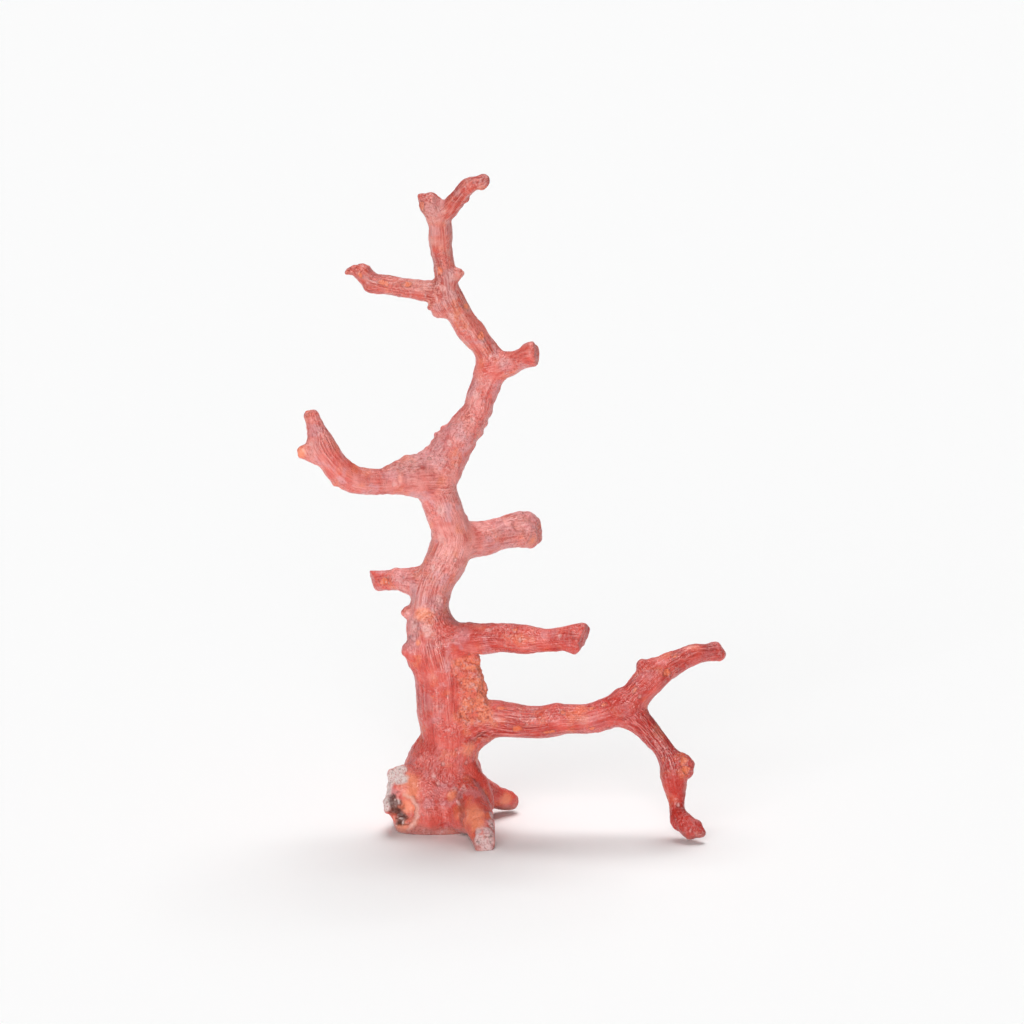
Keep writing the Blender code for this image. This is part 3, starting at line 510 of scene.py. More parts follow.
# How high patterns and marks raise the skin, in mm, beside what the user's sizes say.
HEIGHTS = {
    "small_lumps": 0.11,
    "tooth": 0.05,
    "wrinkles": 0.16,
    "scar_rim": 0.03,
    "bloom_grains": 0.15,
    "chalk_grains": 0.25,
    "crevice_grains": 0.35,
    "ridge": 0.3,
    "crevice": -0.35,
    "shaded_crease": -0.2,
}
SCAR_DEPTHS = {"pale": 0.1, "orange": 0.1, "pits_and_glints": 0.12}

# Distances in mm: one that counts as outside everything, one that is beyond a limb's reach, how far from a
# limb its points are looked for, how far apart a smooth route's points are, how much a blunt tip and the
# rim of a hollow are worn round, and how softly limbs pass their tones, and families their grain, on.
FAR = 4.0
BEYOND = 9.0
SEARCH_MARGIN = 5.5
ROUTE_STEP = 1.4
TIP_WEAR = 1.2
HOLLOW_WEAR = 0.6
TONE_FILLET = 0.8
GRAIN_FILLET = 0.5
# Streaks are noise averaged this far to both sides along the grain, at so many places, and scaled so that
# this many times their usual size is 1.
GROOVE_REACH = 2.4
GROOVE_SAMPLES = 11
GROOVE_RANGE = 2.2
# How fast the material's grooves change along a limb, where 1 is as fast as across it.
GRAIN_STRETCH = 0.04
# The value of a grid corner that is filled to keep two sheets of the surface apart, how far in cells the
# field's slope is read to both sides, and how many steps put the refined points back on its zero surface.
BARELY_INSIDE = -0.02
SLOPE_REACH = 0.6
SETTLING_STEPS = 2
# What it costs a mark to be off its place, against lying further from the viewer, and to be out of sight.
SEAT_PULL = 30
NOT_SEEN = 1e6
# The skin faces the front where its normal's second number is less than this.
FACING_FRONT = 0.1
# How often two borders that cross are opened, and how many rings of quads an island may be wide.
TIDY_TURNS = 24
ISLAND_RINGS = 40

# Colours of the material's fine marks, as linear values: what the beds of its grooves and its dark specks
# are multiplied by, the specks being painted shade in the bump's small dips; the crests of its grooves and
# the pale coat of its grains, both bloom and partly painted highlight; and its sheen.
GROOVE_BED = (0.72, 0.36, 0.32, 1)
GROOVE_CREST_BLOOM_AND_HIGHLIGHT = (0.94, 0.48, 0.44, 1)
GRAIN_BLOOM_AND_HIGHLIGHT = (0.80, 0.50, 0.49, 1)
SPECK_SHADE = (0.72, 0.45, 0.42, 1)
SHEEN_TINT = (0.75, 0.6, 0.68, 1)
# Scales of its noises: grooves across a groove's pitch, and grains and specks across a metre.
GROOVE_SCALE = 1.2
GRAIN_SCALE = 1500
SPECK_SCALE = 2600
# Where its nodes are laid out, and how far apart.
FIRST_NODE = (-2400, 300)
NODE_STEP = 60

# Distant lamps: (name, towards where it stands, strength, angle in degrees, whether it lights matt skin).
LAMPS = [
    ("overhead_softbox", (0.06, 0.42, 1.0), 2.32, 38, True),
    ("front_softbox", (-0.25, -1.0, 0.3), 2.0, 50, True),
    ("glint_lamp", (-0.3, -1.0, 0.45), 2.6, 6, False),
]
ROOM_STRENGTH = 0.13
FLOOR_REACH = 6.0
SENSOR_WIDTH = 36.0
CLIP_START, CLIP_END = 0.01, 60.0


def red_green_blue(red, green, blue):
    """The linear colour of three screen values from 0 to 255."""
    screen = np.array([red, green, blue]) / 255
    return tuple(np.where(screen <= 0.04045, screen / 12.92, ((screen + 0.055) / 1.055) ** 2.4).tolist())


class CoralSizes(bpy.types.PropertyGroup):
    """What a user may change about the skin's shape."""

    cell: bpy.props.FloatProperty(
        name="Cell",
        description="Pitch of the grid that the skin is found on, in mm",
        default=0.37,
        min=0.3,
    )
    fork_fillet: bpy.props.FloatProperty(
        name="Fork fillet",
        description="Width over which a limb of 3 mm radius melts into another, in mm",
        default=1.3,
    )
    knob_fillet: bpy.props.FloatProperty(
        name="Knob fillet",
        description="Width over which a knob of 2 mm radius melts into its limb, in mm",
        default=0.85,
    )
    lump_height: bpy.props.FloatProperty(
        name="Lump height", description="Height of the broad lumps, in mm", default=0.34
    )
    groove_depth: bpy.props.FloatProperty(
        name="Groove depth", description="Depth of the fine growth grooves, in mm", default=0.04
    )
    groove_pitch: bpy.props.FloatProperty(
        name="Groove pitch", description="Half the distance between two growth grooves, in mm", default=0.36
    )
    crust_height: bpy.props.FloatProperty(
        name="Crust height", description="Height of the granular crust's grains, in mm", default=0.44
    )


class CoralColours(bpy.types.PropertyGroup):
    """The skin's colours."""

    deep: bpy.props.FloatVectorProperty(
        name="Deep red", subtype="COLOR", description="Reddest ends", default=red_green_blue(200, 46, 32)
    )
    middle: bpy.props.FloatVectorProperty(
        name="Salmon", subtype="COLOR", description="Trunk and arms", default=red_green_blue(230, 90, 76)
    )
    pale: bpy.props.FloatVectorProperty(
        name="Pale pink", subtype="COLOR", description="Middle stem", default=red_green_blue(244, 154, 146)
    )
    orange: bpy.props.FloatVectorProperty(
        name="Orange", subtype="COLOR", description="Orange scars", default=red_green_blue(244, 130, 80)
    )
    veil: bpy.props.FloatVectorProperty(
        name="Veil", subtype="COLOR", description="Lavender bloom", default=red_green_blue(226, 172, 180)
    )
    scar: bpy.props.FloatVectorProperty(
        name="Pale scar", subtype="COLOR", description="Pale scars", default=red_green_blue(240, 182, 176)
    )
    chalk: bpy.props.FloatVectorProperty(
        name="Chalk", subtype="COLOR", description="Chalky crust", default=red_green_blue(234, 218, 214)
    )
    # Painted shade: this colour darkens the creases and the foot's crevice. It also darkens scar rims, the
    # low grains of the crust, chalk and bloom, and the foot near the ground.
    shade: bpy.props.FloatVectorProperty(
        name="Crevice", subtype="COLOR", description="Dirt in hollows", default=red_green_blue(92, 58, 48)
    )
    floor: bpy.props.FloatVectorProperty(
        name="Floor", subtype="COLOR", description="Stage's floor", default=red_green_blue(252, 252, 252)
    )


# The radii in mm that the fillets of CoralSizes are for; others melt in proportion.
FORK_RADIUS, KNOB_RADIUS = 3, 2
SKIN_COLOURS = [name for name in CoralColours.__annotations__ if name != "floor"]


def true_place(seen):
    """Where points seen as (across, height, depth) are: along their line of sight, at their own depth."""
    seen = np.asarray(seen, float)
    sine, cosine = math.sin(LOOK_DOWN), math.cos(LOOK_DOWN)
    slope = (seen[..., 1] - LOOK_AT_HEIGHT) / LOOK_FROM
    depth = seen[..., 2]
    rise = (slope * (LOOK_FROM + depth * cosine) - depth * sine) / (cosine + slope * sine)
    distance = LOOK_FROM + depth * cosine - rise * sine
    across = LOOK_AT_ACROSS + (seen[..., 0] - LOOK_AT_ACROSS) * distance / LOOK_FROM
    return np.stack([across, depth, LOOK_AT_HEIGHT / cosine + rise], axis=-1)


def seen_place(points):
    """How points look from the front: (across, height as seen, distance beyond the eye's mark)."""
    sine, cosine = math.sin(LOOK_DOWN), math.cos(LOOK_DOWN)
    rise = points[..., 2] - LOOK_AT_HEIGHT / cosine
    beyond = points[..., 1] * cosine - rise * sine
    shrink = LOOK_FROM / (LOOK_FROM + beyond)
    across = LOOK_AT_ACROSS + (points[..., 0] - LOOK_AT_ACROSS) * shrink
    height = LOOK_AT_HEIGHT + (rise * cosine + points[..., 1] * sine) * shrink
    return np.stack([across, height, beyond], axis=-1)


def smooth_route(route):
    """(place, radius) rows about every ROUTE_STEP mm, on a Catmull-Rom curve through a route's points."""
    route = np.asarray(route, float)
    knots = np.column_stack([true_place(route[:, :3]), route[:, 3]])
    knots = np.vstack([2 * knots[0] - knots[1], knots, 2 * knots[-1] - knots[-2]])
    rows = []
    for a, b, c, d in zip(knots, knots[1:], knots[2:], knots[3:]):
        pieces = max(1, round(float(np.linalg.norm((c - b)[:3])) / ROUTE_STEP))
        t = np.arange(pieces)[:, None] / pieces
        cubic = 3 * b - a - 3 * c + d
        rows.append(0.5 * (2 * b + (c - a) * t + (2 * a - 5 * b + 4 * c - d) * t**2 + cubic * t**3))
    rows.append(knots[-2][None])
    return np.vstack(rows)


def carried_sides(route):
    """A direction square to a route at each of its points, carried along it without twist."""
    ways = np.gradient(route[:, :3], axis=0)
    ways /= np.linalg.norm(ways, axis=1, keepdims=True)
    side = np.array([0.0, 1.0, 0.0])
    sides = []
    for way in ways:
        side = side - way * (side @ way)
        side = side / np.linalg.norm(side)
        sides.append(side)
    return np.array(sides)


def along_segment(points, start, end):
    """How far points lie along a segment, from 0 to 1, and their distance from its tapered skin."""
    way = end[:3] - start[:3]
    part = np.clip((points - start[:3]) @ way / max(way @ way, 1e-9), 0, 1)
    gap = points - (start[:3] + part[..., None] * way)
    radius = start[3] + part * (end[3] - start[3])
    return part, np.sqrt((gap * gap).sum(axis=-1)) - radius


def smooth_least(a, b, width):
    """The lesser of two distances, rounded off where they are within width of each other."""
    near = np.maximum(width - np.abs(a - b), 0) / width
    return np.minimum(a, b) - near * near * width / 4


def blunt_tip(limb, places, route):
    """A limb's distances with its round tip taken off square at its last point, and the rim worn round."""
    tip = route[-1]
    way = (tip - route[-2])[:3]
    beyond = (places - tip[:3]) @ (way / np.linalg.norm(way))
    near = np.linalg.norm(places - tip[:3], axis=-1) < 2 * tip[3] + SEARCH_MARGIN / 2
    return np.where(near, -smooth_least(-limb, -beyond, min(tip[3], TIP_WEAR)), limb).astype(np.float32)


CUBE_CORNERS = [(a, b, c) for a in (0, 1) for b in (0, 1) for c in (0, 1)]


def corner_weight(part, corner):
    """How much a cell's corner counts for points that are part of the way through the cell."""
    x, y, z = (np.abs(1 - step - part[:, k]) for k, step in enumerate(corner))
    return x * y * z


class DistanceGrid:
    """Distances from the coral's skin at the corners of a grid, negative inside."""

    def __init__(self, low, high, cell):
        self.low = np.asarray(low, float)
        self.cell = cell
        self.shape = tuple(np.ceil((np.asarray(high) - self.low) / cell).astype(int) + 1)
        self.values = np.full(self.shape, FAR, np.float32)

    def block(self, low, high):
        """The slices of the grid that cover a box, and the places of their corners."""
        first = np.clip(np.floor((low - self.low) / self.cell).astype(int), 0, self.shape)
        last = np.clip(np.ceil((high - self.low) / self.cell).astype(int) + 1, 0, self.shape)
        slices = tuple(slice(a, b) for a, b in zip(first, last))
        axes = [self.low[k] + self.cell * np.arange(first[k], last[k]) for k in range(3)]
        places = np.stack(np.meshgrid(*axes, indexing="ij"), axis=-1).astype(np.float32)
        return slices, places

    def add_limb(self, route, fillet):
        """Melts a tapered limb into what is there."""
        reach = fillet + 2 * self.cell
        low = (route[:, :3] - route[:, 3:]).min(axis=0) - reach
        high = (route[:, :3] + route[:, 3:]).max(axis=0) + reach
        slices, places = self.block(low, high)
        limb = np.full(places.shape[:3], FAR, np.float32)
        first = np.array([s.start for s in slices])
        for start, end in zip(route, route[1:]):
            around = max(start[3], end[3]) + reach
            near, _ = self.block(
                np.minimum(start[:3], end[:3]) - around, np.maximum(start[:3], end[:3]) + around
            )
            local = tuple(slice(max(s.start - f, 0), s.stop - f) for s, f in zip(near, first))
            _, distance = along_segment(places[local], start, end)
            limb[local] = np.minimum(limb[local], distance)
        self.values[slices] = smooth_least(self.values[slices], blunt_tip(limb, places, route), fillet)

    def cut_break(self, place, facing, wear):
        """Takes away what lies beyond a rough break, near its middle, and wears its rim round."""
        facing = np.asarray(facing) / np.linalg.norm(facing)
        slices, places = self.block(place - 2 * BREAK_REACH, place + 2 * BREAK_REACH)
        beyond = (places - place) @ facing
        aside = np.linalg.norm(places - place - beyond[..., None] * facing, axis=-1)
        rough = layered_noise(places.reshape(-1, 3), *PATTERNS["break_face"]).reshape(beyond.shape)
        beyond = beyond + BREAK_ROUGHNESS * rough
        cut = np.where(aside < BREAK_REACH, beyond, -FAR).astype(np.float32)
        self.values[slices] = -smooth_least(-self.values[slices], -cut, wear)

    def hollow(self, place, half_sizes):
        """Takes away an egg-shaped hollow."""
        half_sizes = np.asarray(half_sizes)
        slices, places = self.block(place - half_sizes - 1, place + half_sizes + 1)
        spread = np.linalg.norm((places - place) / half_sizes, axis=-1)
        inside = (1 - spread) * half_sizes.min()
        self.values[slices] = -smooth_least(-self.values[slices], -inside, HOLLOW_WEAR)

    def cut_flat(self):
        """Takes away what lies under the ground."""
        heights = self.low[2] + self.cell * np.arange(self.shape[2])
        self.values = np.maximum(self.values, -heights[None, None, :].astype(np.float32))

    def sample(self, points):
        """Distances at any points, in proportion between the grid's corners."""
        spots = (points - self.low) / self.cell
        corner = np.clip(np.floor(spots).astype(int), 0, np.array(self.shape) - 2)
        part = (spots - corner).astype(np.float32)
        total = np.zeros(len(points), np.float32)
        for step in CUBE_CORNERS:
            total += corner_weight(part, step) * self.values[tuple((corner + step).T)]
        return total

    def slope(self, points):
        """Which way the distance grows at points, as unit vectors."""
        steps = np.eye(3) * self.cell * SLOPE_REACH
        slope = np.stack([self.sample(points + s) - self.sample(points - s) for s in steps], axis=-1)
        return slope / np.maximum(np.linalg.norm(slope, axis=-1, keepdims=True), 1e-6)

    def part_sheets(self):
        """Fills a corner of each grid face with two opposite corners inside, so no edge has four quads."""
        for i, j in ((0, 1), (1, 2), (0, 2)) * 2:
            inside = self.values < 0
            beside, above = np.roll(inside, -1, i), np.roll(inside, -1, j)
            opposite = np.roll(beside, -1, j)
            rising = inside & opposite & ~beside & ~above
            falling = beside & above & ~inside & ~opposite
            self.values[np.roll(rising, 1, i) | falling] = BARELY_INSIDE

    def skin(self):
        """The zero surface, as points and quads: a point in each mixed cell, the mean of its crossings."""
        self.part_sheets()
        inside = self.values < 0
        count = np.zeros(tuple(n - 1 for n in self.shape), np.int8)
        for step in CUBE_CORNERS:
            count += inside[tuple(slice(s, n - 1 + s) for s, n in zip(step, self.shape))]
        cells = np.argwhere((count > 0) & (count < 8))
        number = np.full(count.shape, -1, np.int32)
        number[tuple(cells.T)] = np.arange(len(cells))
        total = np.zeros((len(cells), 3))
        crossings = np.zeros(len(cells))
        for start in CUBE_CORNERS:
            for way in np.eye(3, dtype=int)[np.array(start) == 0]:
                value_a = self.values[tuple((cells + start).T)]
                value_b = self.values[tuple((cells + start + way).T)]
                crosses = (value_a < 0) != (value_b < 0)
                part = np.where(crosses, value_a / np.where(crosses, value_a - value_b, 1), 0)
                total += (start + part[:, None] * way) * crosses[:, None]
                crossings += crosses
        points = self.low + self.cell * (cells + total / crossings[:, None])
        quads = [self.quads_across(inside, number, k) for k in range(3)]
        return points, np.vstack(quads)

    def quads_across(self, inside, number, k):
        """Quads round every grid edge along one direction that the surface crosses, facing outwards."""
        i, j = (k + 1) % 3, (k + 2) % 3
        lower = [slice(None)] * 3
        upper = [slice(None)] * 3
        lower[k], upper[k] = slice(None, -1), slice(1, None)
        edges = np.argwhere(inside[tuple(lower)] != inside[tuple(upper)])
        outwards = inside[tuple(edges.T)]
        around = []
        for di, dj in ((-1, -1), (0, -1), (0, 0), (-1, 0)):
            cell = edges.copy()
            cell[:, i] += di
            cell[:, j] += dj
            around.append(number[tuple(cell.T)])
        quads = np.stack(around, axis=1)
        quads[~outwards] = quads[~outwards][:, ::-1]
        return quads


def edges_of(quads):
    """The ends of every quad's edges, lower first, one row for each edge of each quad."""
    ends = np.stack([quads, np.roll(quads, -1, axis=1)], axis=-1).reshape(-1, 2)
    return np.sort(ends, axis=1)


def refined(points, quads):
    """Every quad as four, through new points at its middle and in the middle of its edges."""
    ends = edges_of(quads)
    key = ends[:, 0].astype(np.int64) * len(points) + ends[:, 1]
    unique, inverse = np.unique(key, return_inverse=True)
    middles = (points[unique // len(points)] + points[unique % len(points)]) / 2
    centres = points[quads].mean(axis=1)
    on_edge = inverse.reshape(-1, 4) + len(points)
    at_centre = np.arange(len(quads)) + len(points) + len(middles)
    small = [np.stack([quads[:, k], on_edge[:, k], at_centre, on_edge[:, k - 1]], axis=1) for k in range(4)]
    return np.vstack([points, middles, centres]), np.vstack(small)


def point_normals(points, quads):
    """Unit normals of a surface's points, each the mean of its quads' own, by area."""
    a, b, c, d = (points[quads[:, k]] for k in range(4))
    across = np.cross(c - a, d - b)
    sums = [np.bincount(quads.ravel(), np.repeat(across[:, k], 4), len(points)) for k in range(3)]
    normals = np.stack(sums, axis=-1)
    return normals / np.maximum(np.linalg.norm(normals, axis=-1, keepdims=True), 1e-12)


# The noise's random values, and how a lattice corner and a seed pick one of them.
NOISE_VALUES = np.random.default_rng(20).uniform(-1, 1, 8192).astype(np.float32)
NOISE_PRIMES = (73856093, 19349663, 83492791)
NOISE_SHIFT = 13.37


def lattice_noise(points, size, seed):
    """Smooth noise from -1 to 1: random values on a lattice of a size in mm, eased between its corners."""
    spots = points / size + seed * NOISE_SHIFT
    corner = np.floor(spots).astype(np.int64)
    part = (spots - corner).astype(np.float32)
    part = part * part * (3 - 2 * part)
    keys = [[(corner[:, k] + step) * prime for step in (0, 1)] for k, prime in enumerate(NOISE_PRIMES)]
    total = np.zeros(len(points), np.float32)
    for a, b, c in CUBE_CORNERS:
        key = (keys[0][a] ^ keys[1][b] ^ keys[2][c]) & (len(NOISE_VALUES) - 1)
        total += corner_weight(part, (a, b, c)) * NOISE_VALUES[key]
    return total


def layered_noise(points, size, seed):
    """Noise of a size, with half as much at half the size and a quarter at a quarter, all over 1.2."""
    return sum(lattice_noise(points, size / 2**k, seed + k) / 2**k for k in range(3)) / 1.2


def eased(values, low, high):
    """0 below low, 1 above high, and a smooth step between."""
    part = np.clip((values - low) / (high - low), 0, 1)
    return part * part * (3 - 2 * part)


def mixed(colours, other, weight):
    """Colours moved towards another, or towards others, by a weight for each point."""
    return colours + (other - colours) * weight[:, None]


def rim_of(scars):
    """1 on the rim round each scar, and 0 in its middle and outside it."""
    return eased(scars, 0.0, 0.2) * (1 - eased(scars, 0.2, 0.5))


def hanging_together(count, pairs):
    """A label for each of count things, the least number among those that pairs join it to."""
    label = np.arange(count)
    while True:
        least = label.copy()
        np.minimum.at(least, pairs[:, 0], label[pairs[:, 1]])
        np.minimum.at(least, pairs[:, 1], label[pairs[:, 0]])
        least = least[least]
        if (least == label).all():
            return label
        label = least


class Skin:
    """The coral's whole skin: points in mm, quads, and what each point belongs to."""

    def __init__(self, sizes):
        self.sizes = sizes
        self.grid = self.grown_grid()
        points, quads = self.grid.skin()
        points, quads = refined(points, quads)
        for _ in range(SETTLING_STEPS):
            points = points - self.grid.slope(points) * self.grid.sample(points)[:, None]
        self.points = points
        self.quads = quads
        self.normals = point_normals(points, quads)
        self.trace_limbs()

    def grown_grid(self):
        """The distance field of all limbs and knobs, with its breaks, hollows and flat cut."""
        routes = [smooth_route(limb["route"]) for limb in LIMBS.values()]
        knobs = [smooth_route(knob) for knob in KNOBS]
        spread = np.vstack(routes)
        margin = spread[:, 3:].max() / 2 + SEARCH_MARGIN
        grid = DistanceGrid(
            spread[:, :3].min(axis=0) - margin, spread[:, :3].max(axis=0) + margin, self.sizes.cell
        )
        for route in routes:
            grid.add_limb(route, self.sizes.fork_fillet * route[0, 3] / FORK_RADIUS)
        for route in knobs:
            grid.add_limb(route, self.sizes.knob_fillet * route[0, 3] / KNOB_RADIUS)
        for place, facing, wear in BREAKS:
            grid.cut_break(true_place(place), facing, wear)
        for place, half_sizes in PITS:
            grid.hollow(true_place(place), half_sizes)
        grid.cut_flat()
        return grid

    def trace_limbs(self):
        """Gives each point its nearest piece, grain direction, paleness, and place on each family's limbs.

        Paleness and direction are means over the limbs nearby, each counting less the further off it is.
        """
        count = len(self.points)
        nearest = np.full(count, np.inf)
        self.node_names = list(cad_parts)
        self.node = np.zeros(count, int)
        grain = np.zeros((count, 3))
        paleness = np.zeros(count)
        weights = np.full(count, 1e-9)
        self.grain_places = np.zeros((len(GRAIN_FAMILIES), count, 3))
        family_distance = np.full((len(GRAIN_FAMILIES), count), BEYOND)
        for name, limb in LIMBS.items():
            near, distance, along, place, way = self.limb_places(smooth_route(limb["route"]))
            tones = limb["paleness"]
            weight = np.exp(-np.maximum(distance, -2) / TONE_FILLET)
            grain[near] += weight[:, None] * way
            paleness[near] += weight * np.interp(along / along.max(), np.linspace(0, 1, len(tones)), tones)
            weights[near] += weight
            closer = distance < nearest[near]
            nearest[near[closer]] = distance[closer]
            which = np.searchsorted([cut for _, cut in limb["cuts"]], along[closer])
            names = [limb["node"], *(node for node, _ in limb["cuts"])]
            self.node[near[closer]] = np.array([self.node_names.index(n) for n in names])[which]
            family = next(k for k, limbs in enumerate(GRAIN_FAMILIES) if name in limbs)
            closer = distance < family_distance[family, near]
            family_distance[family, near[closer]] = distance[closer]
            self.grain_places[family, near[closer]] = place[closer]
        grain -= self.normals * (grain * self.normals).sum(axis=1, keepdims=True)
        self.grain = grain / np.maximum(np.linalg.norm(grain, axis=1, keepdims=True), 1e-9)
        self.paleness = paleness / weights
        shares = np.exp(-(family_distance - family_distance.min(axis=0)) / GRAIN_FILLET)
        self.grain_shares = (shares / shares.sum(axis=0)).T

    def limb_places(self, route):
        """For the points near a limb: which, distance, way along, straightened place, and direction.

        The straightened place is the offset from the limb's axis in a frame carried along it without
        twist, with the way along as its third number.
        """
        reach = route[:, 3:] + SEARCH_MARGIN
        low, high = (route[:, :3] - reach).min(axis=0), (route[:, :3] + reach).max(axis=0)
        near = np.flatnonzero(((self.points > low) & (self.points < high)).all(axis=1))
        points = self.points[near]
        distance = np.full(len(near), BEYOND)
        along = np.zeros(len(near))
        place = np.zeros((len(near), 3))
        direction = np.zeros((len(near), 3))
        lengths = np.linalg.norm(np.diff(route[:, :3], axis=0), axis=1)
        begins = np.concatenate([[0], np.cumsum(lengths)])
        sides = carried_sides(route)
        ways = np.gradient(route[:, :3], axis=0)
        for k, (start, end) in enumerate(zip(route, route[1:])):
            around = max(start[3], end[3]) + SEARCH_MARGIN
            middle = (start[:3] + end[:3]) / 2
            close = np.flatnonzero(np.abs(points - middle).max(axis=1) < around + lengths[k])
            part, gap = along_segment(points[close], start, end)
            closer = gap < distance[close]
            close, part, gap = close[closer], part[closer, None], gap[closer]
            distance[close] = gap
            along[close] = begins[k] + part[:, 0] * lengths[k]
            side = sides[k] + part * (sides[k + 1] - sides[k])
            way = ways[k] + part * (ways[k + 1] - ways[k])
            way /= np.linalg.norm(way, axis=1, keepdims=True)
            offset = points[close] - start[:3] - part * (end - start)[:3]
            across = (offset * side).sum(axis=1)
            up = (offset * np.cross(way, side)).sum(axis=1)
            place[close] = np.column_stack([across, up, along[close]])
            direction[close] = way
        keep = distance < BEYOND
        return near[keep], distance[keep], along[keep], place[keep], direction[keep]

    def pattern(self, name):
        """A named pattern of layered noise at the skin's points."""
        return layered_noise(self.points, *PATTERNS[name])

    def grain_pattern(self, name):
        """A named pattern of plain noise at the skin's points."""
        return lattice_noise(self.points, *GRAIN_PATTERNS[name])

    def grooves(self, pitch):
        """Streaks along the grain, from about -1 to 1: noise averaged over a short way along the grain."""
        reaches = np.linspace(-GROOVE_REACH, GROOVE_REACH, GROOVE_SAMPLES)
        shifted = (self.points + self.grain * reach for reach in reaches)
        total = sum(lattice_noise(points, pitch, GROOVE_SEED) for points in shifted)
        return total / (np.std(total) * GROOVE_RANGE)

    def seats(self, marks):
        """The points of the skin where marks seen from the front lie."""
        seen = seen_place(self.points)
        faces_front = self.normals[:, 1] < FACING_FRONT
        found = []
        for across, height in marks:
            gap = (seen[:, 0] - across) ** 2 + (seen[:, 1] - height) ** 2
            cost = np.where(faces_front, gap * SEAT_PULL, NOT_SEEN) + seen[:, 2]
            found.append(int(np.argmin(cost)))
        return found

    def scar(self, seat, half_width, half_length):
        """How far points are from the middle of a scar, in its half sizes across and along the grain."""
        gap = self.points - self.points[seat]
        along = gap @ self.grain[seat]
        across = np.sqrt(np.maximum((gap * gap).sum(axis=1) - along**2, 0))
        return np.sqrt((across / half_width) ** 2 + (along / half_length) ** 2)

    def patches(self, table, softness):
        """1 near places seen from the front, and 0 beyond a ragged rim at each one's radius in mm."""
        seats = self.seats([place for place, _ in table])
        wander = 0.35 * self.pattern("patch_rim")
        most = np.zeros(len(self.points))
        for seat, (_, radius) in zip(seats, table):
            ragged = np.linalg.norm(self.points - self.points[seat], axis=1) + radius * wander
            patch = 1 - eased(ragged, radius * (1 - softness), radius * (1 + softness))
            most = np.maximum(most, patch)
        return most

    def ribbon(self, places, kind):
        """1 along a line through places seen from the front, and 0 from its kind's half width off it on."""
        half_width = LINE_HALF_WIDTHS[kind]
        line = self.points[self.seats(places)]
        nearest = np.full(len(self.points), FAR)
        for start, end in zip(line, line[1:]):
            _, distance = along_segment(self.points, np.append(start, 0), np.append(end, 0))
            nearest = np.minimum(nearest, distance)
        ragged = nearest + 0.5 * half_width * self.pattern("line_rim")
        return 1 - eased(ragged, half_width * 0.3, half_width)


